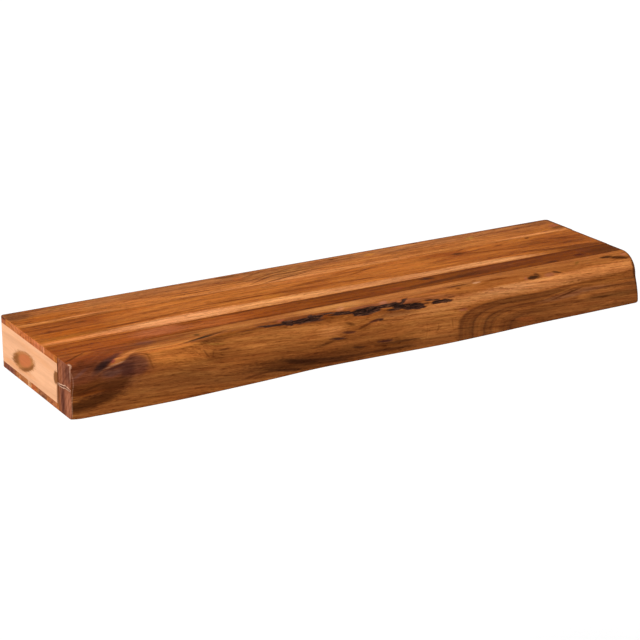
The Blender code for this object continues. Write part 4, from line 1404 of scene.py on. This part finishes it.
def end_stops(length: float, spacing: float, arrises: tuple[float, float],
              steps: int) -> list[tuple[float, float]]:
    """List the stations along a board, closer together where its ends are rounded.

    Args:
        length: The board's length.
        spacing: The distance between stations along its middle.
        arrises: The radius of the round at the left and the right end.
        steps: The steps of each round.

    Returns:
        Each station's place along the board and how far its outline is drawn in.
    """
    left, right = ([(near, round_inset(near, arris)) for near in
                    (arris * (1 - math.cos(quarter(step, steps))) for step in range(steps + 1))]
                   for arris in arrises)
    flat = length - sum(arrises)
    count = round(flat / spacing)
    middle = [(arrises[0] + flat * step / count, 0.0) for step in range(1, count)]
    return left + middle + [(length - along, inset) for along, inset in reversed(right)]


def grit_at(along: float, across: float) -> float:
    """Work out a noise from about -1 to 1 that is longer with the grain than across it.

    Args:
        along: The place along the grain, in millimetres.
        across: The place across it.

    Returns:
        The noise.
    """
    rate_along, rate_across, seed = 0.055, 0.30, 3.7
    return 2.0 * noise.fractal(Vector((along * rate_along, across * rate_across, seed)), 0.9, 2.0, 4)


@dataclass
class Shop:
    """Puts pieces into the scene and on their bodies."""

    effects: Effects
    arris_angle: float = 40.0

    def add(self, name: str, mesh: bpy.types.Mesh, material: bpy.types.Material, body: str, slot: str,
            replaced: Sequence[str]) -> bpy.types.Object:
        """Add a piece.

        Args:
            name: The piece's name.
            mesh: Its mesh.
            material: Its material.
            body: The body that it rides on.
            slot: The record's material slot; not used.
            replaced: The nodes that it stands for.

        Returns:
            The piece.
        """
        piece = bpy.data.objects.new(name, mesh)
        bpy.context.scene.collection.objects.link(piece)
        mesh.materials.clear()
        mesh.materials.append(material)
        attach(piece, body)
        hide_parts(*replaced)
        log.info("%s: %d faces, for %s", name, len(mesh.polygons), ", ".join(replaced))
        return piece

    def smooth(self, piece: bpy.types.Object, sharp_angle: float = 40.0) -> None:
        """Shade a piece smooth, with its flats kept flat.

        Args:
            piece: The piece.
            sharp_angle: Edges over this angle, in degrees, stay sharp.
        """
        piece.data.shade_smooth()
        piece.data.set_sharp_from_angle(angle=math.radians(sharp_angle))
        weighted = piece.modifiers.new("flat_faces", "WEIGHTED_NORMAL")
        weighted.keep_sharp = True

    def repaint(self, node: str, material: bpy.types.Material, arris: float = 0.0) -> None:
        """Give a node of the model a better finish and eased arrises.

        Args:
            node: The node's name.
            material: Its new material.
            arris: The radius of its arrises, or 0 to leave them.
        """
        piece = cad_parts[node]
        piece.data.materials.clear()
        piece.data.materials.append(material)
        if arris:
            bevel = piece.modifiers.new("eased_arrises", "BEVEL")
            bevel.width = arris
            bevel.segments = 2
            bevel.limit_method = "ANGLE"
            bevel.angle_limit = math.radians(self.arris_angle)
        log.info("%s: repainted with %s", node, material.name)


@dataclass
class FrontBoard:
    """The solid front board with the tree's natural edge, its bark pockets and its dowel holes."""

    length: float
    depth: float
    height: float
    rear: float
    station_shares: Shares = (0.0, 0.10, 0.175, 0.238, 0.31, 0.40, 0.50, 0.61, 0.70, 0.80, 0.90, 1.0)
    wave_shares: Shares = (-0.25, 0.70, 1.0, 0.6, 0.05, -1.0, -0.35, 0.68, 0.45, -0.35, -0.45, -0.6)
    lean_shares: Shares = (0.0, 0.0, 0.15, 1.35, 0.95, 0.6, 0.3, 0.5, 0.8, 1.0, 1.0, 1.0)
    crest_shares: Shares = (0.06, 0.08, 0.10, 0.12, 0.15, 0.15, 0.18, 0.50, 0.80, 1.0, 1.03, 1.18)
    wave: float = 4.65 * MM
    lean: float = 10.0 * MM
    crest_height: float = 27.0 * MM
    crest_width: float = 31.0 * MM
    foot: float = 3.0 * MM
    left_foot: float = 6.0 * MM
    left_reach: float = 18.0 * MM
    belly_share: float = 1.6
    arris: float = 1.5 * MM
    right_arris: float = 6.0 * MM
    right_face_share: float = 0.25
    seam: float = 0.3 * MM
    face_steps: int = 66
    crest_steps: int = 16
    foot_steps: int = 5
    flat_steps: int = 16
    round_steps: int = 6
    station_spacing: float = 2.2 * MM
    sharp_angle: float = 50.0
    cheek: float = 18.0 * MM
    dowel_rise: float = 15.0 * MM
    hole_radius: float = 4.3 * MM
    hole_depth: float = 15.0 * MM
    hole_steps: int = 28
    # Carving, in millimetres: where the pockets lie, their crumbs, and the hand-sanded swell
    pocket_span: tuple[float, float] = (-245, 145)
    pocket_rise: tuple[float, float] = (60, 104)
    crumb_rates: tuple[float, float] = (0.5, 0.9)
    crumb_shares: tuple[float, float] = (0.85, 0.6)
    full_bark: float = 1.4
    deepest: float = 3.6
    swell: float = 0.28
    swell_lengths: tuple[float, float] = (55, 24)
    swell_end: float = 90
    swell_fade: float = 20
    checks: tuple[Mark, ...] = tuple(mark for mark in FRONT_BOARD_FIGURE
                                     if isinstance(mark, Mark) and mark.pit)

    def value_along(self, share: float, shares: Sequence[float]) -> float:
        """Read the smooth curve through a row of the edge's values.

        Args:
            share: The place along the board, from 0 to 1.
            shares: The row of values at the stations.

        Returns:
            The value there.
        """
        stations = self.station_shares
        last = len(stations) - 1
        span = 0
        while span < last - 1 and share > stations[span + 1]:
            span += 1
        start, end = stations[span], stations[span + 1]
        place = (share - start) / (end - start)
        before, after = max(span - 1, 0), min(span + 2, last)
        slope_in = (shares[span + 1] - shares[before]) / (end - stations[before])
        slope_out = (shares[after] - shares[span]) / (stations[after] - start)
        width = end - start
        cube, square = place ** 3, place ** 2
        return ((2 * cube - 3 * square + 1) * shares[span] + (cube - 2 * square + place) * width * slope_in
                + (3 * square - 2 * cube) * shares[span + 1] + (cube - square) * width * slope_out)

    def outline(self, share: float, inset: float) -> list[tuple[float, float]]:
        """Work out the board's outline at a place along it.

        Args:
            share: The place along the board, from 0 to 1.
            inset: How far the outline is drawn in.

        Returns:
            Points (y, z) from the foot of the glued face round the front to its top.
        """
        drawn_in = inset * (self.right_face_share if share > 0.5 else 1.0)
        reach = self.depth + self.wave * self.value_along(share, self.wave_shares) - drawn_in
        lean = self.lean * self.value_along(share, self.lean_shares)
        crest = self.value_along(share, self.crest_shares)
        crest_height = self.crest_height * crest
        crest_width = min(self.crest_width * crest, reach - lean + self.rear - self.seam)
        bottom = -self.height / 2 + drawn_in
        top = self.height / 2 - inset
        foot = self.foot + self.left_foot * max(1.0 - share * self.length / self.left_reach, 0.0) ** 2
        points = []
        flat = reach - foot + self.rear
        for step in range(self.foot_steps):
            points.append((self.rear - flat * step / self.foot_steps, bottom))
        for step in range(self.foot_steps + 1):
            angle = quarter(step, self.foot_steps)
            points.append((-reach + foot * (1 - math.sin(angle)), bottom + foot * (1 - math.cos(angle))))
        face_foot = bottom + foot
        face_height = top - crest_height - face_foot
        for step in range(1, self.face_steps):
            rise = step / self.face_steps
            points.append((-reach + lean * rise ** self.belly_share, face_foot + face_height * rise))
        crest_y = -reach + lean + crest_width
        for step in range(self.crest_steps + 1):
            angle = quarter(step, self.crest_steps)
            points.append((crest_y - crest_width * math.cos(angle),
                           top - crest_height * (1 - math.sin(angle))))
        for step in range(1, self.flat_steps + 1):
            points.append((crest_y + (self.rear - crest_y) * step / self.flat_steps, top))
        return points

    def carve(self, x: float, outline: Sequence[tuple[float, float]]) -> tuple[list[Point], list[float]]:
        """Press the pits and the hand-sanded waves of the edge into an outline.

        Args:
            x: The outline's place along the shelf.
            outline: Its points (y, z).

        Returns:
            The points in space and how much bark lies at each, from 0 to 1.
        """
        points: list[Point] = []
        barks: list[float] = []
        last = len(outline) - 1
        along = x / MM
        for index, (y, z) in enumerate(outline):
            before, after = outline[max(index - 1, 0)], outline[min(index + 1, last)]
            run, climb = after[0] - before[0], after[1] - before[1]
            size = math.hypot(run, climb) or 1.0
            rise = (z + self.height / 2 + y + self.depth) / MM
            grit = grit_at(along, rise)
            pocket = 0.0
            depth = 0.0
            if (self.pocket_rise[0] < rise < self.pocket_rise[1]
                    and self.pocket_span[0] < along < self.pocket_span[1]):
                pocket = max(oval.depth_at(along, rise, grit) for oval in BARK_POCKETS)
                place = Vector((along * self.crumb_rates[0], rise * self.crumb_rates[1], 1.3))
                crumbs = noise.fractal(place, 0.6, 2.0, 3)
                depth = pocket * (self.crumb_shares[0] + self.crumb_shares[1] * crumbs)
            if 0 < index < last and z > -self.height / 2 + self.foot:
                depth = max(depth, 0.0) + sum(mark.depth_at(along, rise, grit) for mark in self.checks)
                place = Vector((along / self.swell_lengths[0], rise / self.swell_lengths[1], 0.4))
                fade = min(max((self.swell_end - rise) / self.swell_fade, 0.0), 1.0)
                depth += fade * (1 + noise.noise(place)) / 2 * self.swell
            depth = min(depth, self.deepest) * MM
            points.append((x, y + climb / size * depth, z - run / size * depth))
            barks.append(min(pocket / self.full_bark, 1.0))
        return points, barks

    def build(self, shop: Shop) -> None:
        """Build and dress the board.

        Args:
            shop: Where pieces are added.
        """
        points: list[Point] = []
        barks: list[float] = []
        arrises = (self.arris, self.right_arris)
        stops = end_stops(self.length, self.station_spacing, arrises, self.round_steps)
        for along, inset in stops:
            ring, bark = self.carve(along - self.length / 2, self.outline(along / self.length, inset))
            points += ring
            barks += bark
        count = len(points) // len(stops)
        mesh = new_mesh("front_board_fine", points, loft_faces(len(stops), count, skipped=count - 1))
        self.bore(mesh)
        bark_layer = mesh.attributes.new("bark", "FLOAT", "POINT")
        bark_layer.data.foreach_set("value", barks + [0.0] * (len(mesh.vertices) - len(barks)))
        finish = HardwoodFinish(
            name="live_edge_hardwood", shade=0.40, gold=0.6, layout=Layout.RISE, seed=4.0,
            rings=Rings(across=330.0, up=-60.0, lean_across=0.03, lean_up=0.02, spacing=9.0, strength=0.08),
            figure=FRONT_BOARD_FIGURE, end_figure=FRONT_BOARD_END_MARKS, end_shade=0.24,
            sway=2.2, slope=0.07, contrast=1.25, reads_bark=True)
        piece = shop.add("front_board_fine", mesh, finish.material(shop.effects), "shelf",
                         "live_edge_hardwood", ["front_board"])
        shop.smooth(piece, self.sharp_angle)

    def bore(self, mesh: bpy.types.Mesh) -> None:
        """Close the glued face with its dowel holes in it.

        Args:
            mesh: The board's mesh, open only along its glued face.
        """
        end_place = (self.length - self.cheek) / 2
        holes = [(side.value * end_place, level) for side in Side
                 for level in (-self.dowel_rise, self.dowel_rise)]
        holes += [(place, 0.0) for place in rod_places()]
        solid = bmesh.new()
        solid.from_mesh(mesh)
        rim = [edge for edge in solid.edges if edge.is_boundary]
        mouths = []
        for x, z in holes:
            ring = []
            for step in range(self.hole_steps):
                angle = 2 * math.pi * step / self.hole_steps
                ring.append(solid.verts.new((x + self.hole_radius * math.cos(angle), self.rear,
                                             z + self.hole_radius * math.sin(angle))))
            mouths.append(ring)
            rim += [solid.edges.new((ring[step - 1], ring[step])) for step in range(self.hole_steps)]
        bmesh.ops.triangle_fill(solid, use_beauty=True, use_dissolve=False, edges=rim, normal=(0, 1, 0))
        for ring in mouths:
            floor = [solid.verts.new(point.co - Vector((0, self.hole_depth, 0))) for point in ring]
            for step in range(self.hole_steps):
                solid.faces.new((ring[step - 1], ring[step], floor[step], floor[step - 1]))
            solid.faces.new(floor)
        bmesh.ops.recalc_face_normals(solid, faces=solid.faces)
        solid.to_mesh(mesh)
        solid.free()


def rod_places() -> list[float]:
    """Read where the bracket's rods stand from the model itself.

    Returns:
        Their places along X.
    """
    rods = sorted(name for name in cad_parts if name.startswith("bracket_rod_"))
    return [sum(corner[0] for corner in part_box(rod)) / 2 for rod in rods]


@dataclass
class Skin:
    """The three glued staves of the top or of the underside."""

    face: Face
    length: float
    height: float
    seams: tuple[float, float]
    front: float
    thickness: float = 10.0 * MM
    arris: float = 1.5 * MM
    right_arrises: tuple[float, float, float] = (3.5 * MM, 5.0 * MM, 6.0 * MM)
    corner_left: float = 5.0 * MM
    corner_right: float = 10.0 * MM
    corner_step: float = 0.5 * MM
    corner_steps: range = range(4, 20)
    gap: float = 0.06 * MM
    ease: float = 0.12 * MM
    round_steps: int = 6
    # How far apart the points lie, along the shelf and across it
    fine_spacings: tuple[float, float] = (4.0 * MM, 3.0 * MM)
    coarse_spacings: tuple[float, float] = (12.0 * MM, 10.0 * MM)

    def rear_at(self, along: float) -> float:
        """Return where the rounded plan of the rear stave ends towards the wall, at a place along it."""
        return -max(round_inset(along, self.corner_left), round_inset(self.length - along, self.corner_right))

    def outline(self, back: float, front: float, inset: float, rear_arris: bool, count: int,
                x: float, marks: Sequence[Mark]) -> list[Point]:
        """Work out a stave's outline at a place along it.

        Args:
            back: Where the stave starts, towards the wall.
            front: Where it ends, towards the room.
            inset: How far its outer face is drawn in.
            rear_arris: Whether its rear arris is rounded.
            count: The number of spans between points of the outer face.
            x: The outline's place along the shelf.
            marks: The stave's figure, for its pits.

        Returns:
            The outline's points in space.
        """
        side = self.face.value
        outer = self.height / 2 - inset
        inner = self.height / 2 - self.thickness
        points = [(x, front, side * inner), (x, back, side * inner)]
        if rear_arris:
            for step in range(self.round_steps):
                angle = quarter(step, self.round_steps)
                points.append((x, back - self.arris * (1 - math.cos(angle)),
                               side * (outer - self.arris * (1 - math.sin(angle)))))
            start = back - self.arris
        else:
            points.append((x, back, side * (outer - self.ease)))
            start = back - self.ease
        for step in range(count + 1):
            y = start + (front + self.ease - start) * step / count
            sunk = sum(mark.depth_at(x / MM, -y / MM, 0.0) for mark in marks if mark.pit) * MM
            points.append((x, y, side * (outer - sunk)))
        points.append((x, front, side * (outer - self.ease)))
        return points

    def build(self, shop: Shop, finishes: Sequence[HardwoodFinish]) -> None:
        """Build and dress the staves.

        Args:
            shop: Where pieces are added.
            finishes: The finish of the back, middle and front stave.
        """
        side = self.face.name.lower()
        fine = self.face is Face.TOP
        spacing_along, spacing_across = self.fine_spacings if fine else self.coarse_spacings
        spans = (("back", 0.0, self.seams[0]), ("middle", self.seams[0] - self.gap, self.seams[1]),
                 ("front", self.seams[1] - self.gap, self.front))
        for (place, back, front), right_arris, finish in zip(spans, self.right_arrises, finishes):
            rear = place == "back"
            rings = []
            spans_across = round((back - front) / spacing_across)
            arrises = (self.arris, right_arris if fine else self.arris)
            stops = end_stops(self.length, spacing_along, arrises, self.round_steps)
            if rear:
                for near in (step * self.corner_step for step in self.corner_steps):
                    stops.append((near, round_inset(near, arrises[0])))
                    stops.append((self.length - near, round_inset(near, arrises[1])))
                stops.sort()
            for along, inset in stops:
                rear_line = self.rear_at(along) if rear else back
                rings.append(self.outline(rear_line, front, inset, rear, spans_across,
                                          along - self.length / 2, finish.figure))
            count = len(rings[0])
            mesh = new_mesh(f"{side}_{place}_stave_fine", [point for ring in rings for point in ring],
                            loft_faces(len(rings), count))
            slot = "brown_hardwood" if place == "front" else "golden_hardwood"
            piece = shop.add(f"{side}_{place}_stave_fine", mesh, finish.material(shop.effects), "shelf", slot,
                             [f"{side}_stave_{place}"])
            shop.smooth(piece)


@dataclass
class InnerFrame:
    """The pine cheeks, rail and ribs, and the beech dowels between them."""

    arris: float = 0.4 * MM
    beech_colour: Colour = (0.72, 0.46, 0.27)

    def build(self, shop: Shop) -> None:
        """Dress the pieces of the frame.

        Args:
            shop: Where pieces are added.
        """
        knotty = PineFinish(name="pine_cheek_knotty", seed=3.0, figure=CHEEK_MARKS)
        plain = PineFinish(name="pine_cheek_plain", seed=6.0)
        for side, finish in ((Side.LEFT, knotty), (Side.RIGHT, plain)):
            shop.repaint(f"end_cheek_{side.name.lower()}", finish.material(shop.effects))
        shop.repaint("back_rail", PineFinish(name="pine_rail", seed=8.0).material(shop.effects), self.arris)
        rib = PineFinish(name="pine_rib", seed=5.0).material(shop.effects)
        for number in range(1, len(rod_places()) + 1):
            shop.repaint(f"guide_rib_{number}", rib, self.arris)
        beech = PineFinish(name="beech_dowel", seed=1.0, colour=self.beech_colour).material(shop.effects)
        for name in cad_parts:
            if "dowel" in name:
                shop.repaint(name, beech)


@dataclass
class WallBracket:
    """The steel bar on the wall and the rods that carry the shelf."""

    rod_radius: float = 6.0 * MM
    spigot_radius: float = 4.0 * MM
    gap: float = 0.3 * MM
    weld_leg: float = 3.0 * MM
    weld_waves: int = 18
    weld_ripple: float = 0.25 * MM
    weld_steps: int = 10
    shaft_steps: int = 24
    tip_chamfer: float = 1.5 * MM
    tip_shares: Shares = (0.3, 0.7, 1.0)
    steps: int = 72

    def profile(self, foot: float, tip: float) -> list[tuple[float, float, float]]:
        """List a rod's profile from the wall to its tip.

        Args:
            foot: Where the rod leaves the bar.
            tip: Where it ends.

        Returns:
            Radius, place out from the wall, and the share of the weld's ripple at each point.
        """
        start = foot + self.gap
        rows = [(self.spigot_radius, 0.0, 0.0), (self.spigot_radius, start, 0.0)]
        for step in range(self.weld_steps + 1):
            angle = quarter(step, self.weld_steps)
            radius = self.rod_radius + self.weld_leg * (1 - math.sin(angle))
            rows.append((radius, start + self.weld_leg * (1 - math.cos(angle)), math.sin(2 * angle)))
        start += self.weld_leg
        length = tip - self.tip_chamfer - start
        for step in range(1, self.shaft_steps + 1):
            rows.append((self.rod_radius, start + length * step / self.shaft_steps, 0.0))
        for share in self.tip_shares:
            drawn_in = self.tip_chamfer * share
            rows.append((self.rod_radius - drawn_in, tip - self.tip_chamfer + drawn_in, 0.0))
        return rows

    def build(self, shop: Shop) -> None:
        """Build the rods and dress the bar.

        Args:
            shop: Where pieces are added.
        """
        foot = -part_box("bracket_rail")[0][1]
        rod_finish = SteelFinish(name="bracket_rod_steel", weld_start=foot / MM).material(shop.effects)
        for number, x in enumerate(rod_places(), 1):
            node = f"bracket_rod_{number}"
            rows = self.profile(foot, -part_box(node)[0][1])
            points = []
            for radius, out, ripple in rows:
                for step in range(self.steps):
                    angle = 2 * math.pi * step / self.steps
                    wave = abs(math.sin(angle * self.weld_waves / 2 + number)) - 1
                    fine = radius + ripple * self.weld_ripple * wave
                    points.append((x + fine * math.cos(angle), -out, fine * math.sin(angle)))
            mesh = new_mesh(f"{node}_fine", points, loft_faces(len(rows), self.steps))
            piece = shop.add(f"{node}_fine", mesh, rod_finish, "wall_bracket", "bracket_steel", [node])
            shop.smooth(piece)
        shop.repaint("bracket_rail", SteelFinish(name="bracket_rail_steel").material(shop.effects))


@dataclass
class Studio:
    """The floor, the soft key light, the world and the camera."""

    floor_drop: float = 1.20
    floor_size: float = 60.0
    floor_colour: Colour = (0.55, 0.55, 0.55)
    floor_roughness: float = 0.8
    floor_sheen: float = 0.1
    floor_glow: float = 0.50
    world_level: float = 0.35
    key_strength: float = 2.86
    key_angle: float = 40.0
    key_from: Point = (-0.658, -0.242, 0.714)
    view_middle: Point = (0.0, -0.125, 0.0)
    camera_turn: float = -31.1298
    camera_lift: float = 19.1758
    camera_roll: float = 0.2597
    camera_distance: float = 2.915793
    camera_shift_right: float = -0.025908
    camera_shift_up: float = -0.017318
    camera_reach: float = 60.0
    focal_pixels: float = 1892.391
    frame_pixels: int = 640
    sensor: float = 36.0

    def build(self) -> None:
        """Build the studio."""
        self.add_floor()
        self.add_world()
        self.add_key()
        self.add_camera()
        bpy.context.scene.view_settings.view_transform = "Standard"

    def add_floor(self) -> None:
        """Lay the pale floor under the hanging shelf, which keeps the shelf's shadow."""
        half = self.floor_size / 2
        mesh = bpy.data.meshes.new("studio_floor")
        level = cad_bounds[0][2] - self.floor_drop
        corners = ((-half, -half), (half, -half), (half, half), (-half, half))
        mesh.from_pydata([(x, y, level) for x, y in corners], [], [(0, 1, 2, 3)])
        floor = bpy.data.objects.new("studio_floor", mesh)
        bpy.context.scene.collection.objects.link(floor)
        material = bpy.data.materials.new("studio_floor")
        material.use_nodes = True
        graph = Graph(material.node_tree)
        shader = graph.add("BsdfPrincipled")
        graph.feed(shader.inputs["Base Color"], self.floor_colour)
        graph.feed(shader.inputs["Roughness"], self.floor_roughness)
        graph.feed(shader.inputs["Specular IOR Level"], self.floor_sheen)
        path = graph.add("LightPath")
        graph.feed(shader.inputs["Emission Color"], (1.0, 1.0, 1.0))
        graph.feed(shader.inputs["Emission Strength"],
                   graph.math("MULTIPLY", path.outputs["Is Camera Ray"], self.floor_glow))
        output = graph.add("OutputMaterial")
        graph.feed(output.inputs["Surface"], shader.outputs[0])
        mesh.materials.append(material)

    def add_world(self) -> None:
        """Make the world an even soft light that the camera and reflections see as white."""
        world = bpy.data.worlds.new("studio_world")
        bpy.context.scene.world = world
        world.use_nodes = True
        graph = Graph(world.node_tree)
        path = graph.add("LightPath")
        seen = graph.math("MAXIMUM", path.outputs["Is Camera Ray"],
                          graph.math("MAXIMUM", path.outputs["Is Glossy Ray"],
                                     path.outputs["Is Transmission Ray"]))
        light = graph.add("Background")
        graph.feed(light.inputs["Color"], (1.0, 1.0, 1.0))
        graph.feed(light.inputs["Strength"], graph.lerp(seen, self.world_level, 1.0))
        output = graph.add("OutputWorld")
        graph.feed(output.inputs["Surface"], light.outputs[0])

    def add_key(self) -> None:
        """Add one wide soft light from the left, which reaches the whole shelf evenly."""
        lamp = bpy.data.lights.new("soft_key", "SUN")
        lamp.energy = self.key_strength
        lamp.angle = math.radians(self.key_angle)
        holder = bpy.data.objects.new("soft_key", lamp)
        holder.rotation_euler = (-Vector(self.key_from)).to_track_quat("-Z", "Y").to_euler()
        bpy.context.scene.collection.objects.link(holder)

    def add_camera(self) -> None:
        """Set the camera to the photographed view."""
        turn, lift, roll = (math.radians(angle) for angle in
                            (self.camera_turn, self.camera_lift, self.camera_roll))
        back = Vector((math.sin(turn) * math.cos(lift), -math.cos(turn) * math.cos(lift), math.sin(lift)))
        level = Vector((math.cos(turn), math.sin(turn), 0))
        upright = back.cross(level)
        right = level * math.cos(roll) + upright * math.sin(roll)
        up = upright * math.cos(roll) - level * math.sin(roll)
        place = (Vector(self.view_middle) + back * self.camera_distance + right * self.camera_shift_right
                 + up * self.camera_shift_up)
        camera = bpy.data.cameras.new("photo_camera")
        camera.sensor_width = self.sensor
        camera.lens = self.focal_pixels * self.sensor / self.frame_pixels
        camera.clip_end = self.camera_reach
        holder = bpy.data.objects.new("photo_camera", camera)
        holder.matrix_world = Matrix.Translation(place) @ Matrix((right, up, back)).transposed().to_4x4()
        bpy.context.scene.collection.objects.link(holder)
        bpy.context.scene.camera = holder


def main() -> None:
    """Build the looks of the shelf in order."""
    logging.basicConfig(level=logging.INFO, format="%(name)s: %(message)s")
    middle_low, middle_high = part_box("top_stave_middle")
    board_low, board_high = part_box("front_board")
    length = board_high[0] - board_low[0]
    height = board_high[2] - board_low[2]
    shop = Shop(Effects(height / 2, SHELF_DEPTH))
    FrontBoard(length, SHELF_DEPTH, height, board_high[1]).build(shop)
    seams = (middle_high[1], middle_low[1])
    top = (
        HardwoodFinish(name="golden_hardwood_back", shade=0.43, gold=0.5, seed=1.0, contrast=1.6,
                       rings=Rings(30, -20, 0.02, 0.05, 8, 0.12), figure=BACK_STAVE_MARKS,
                       end_figure=SKIN_END_MARKS, end_shade=0.55),
        HardwoodFinish(name="golden_hardwood_middle", shade=0.45, gold=0.1, seed=6.0, contrast=1.4,
                       rings=Rings(120, -30, -0.03, 0.06, 9, 0.12), figure=MIDDLE_STAVE_MARKS,
                       end_figure=SKIN_END_MARKS, end_shade=0.58),
        HardwoodFinish(name="brown_hardwood_front", shade=0.23, gold=0.0, seed=11.0, contrast=1.4,
                       rings=Rings(190, -60, 0.02, 0.03, 7, 0.12), figure=FRONT_STAVE_MARKS,
                       end_figure=SKIN_END_MARKS, end_shade=0.50),
    )
    under = [HardwoodFinish(name=f"hardwood_under_{number}", shade=shade, seed=20.0 + number,
                            rings=Rings(40 + 60 * number, 30, 0.04, -0.05, 8, 0.16),
                            end_figure=SKIN_END_MARKS, end_shade=0.48)
             for number, shade in enumerate((0.38, 0.42, 0.28))]
    for face, finishes in ((Face.TOP, top), (Face.BOTTOM, under)):
        Skin(face, length, height, seams, board_high[1] + BOARD_GAP).build(shop, finishes)
    InnerFrame().build(shop)
    WallBracket().build(shop)
    Studio().build()


if __name__ == "__main__":
    main()
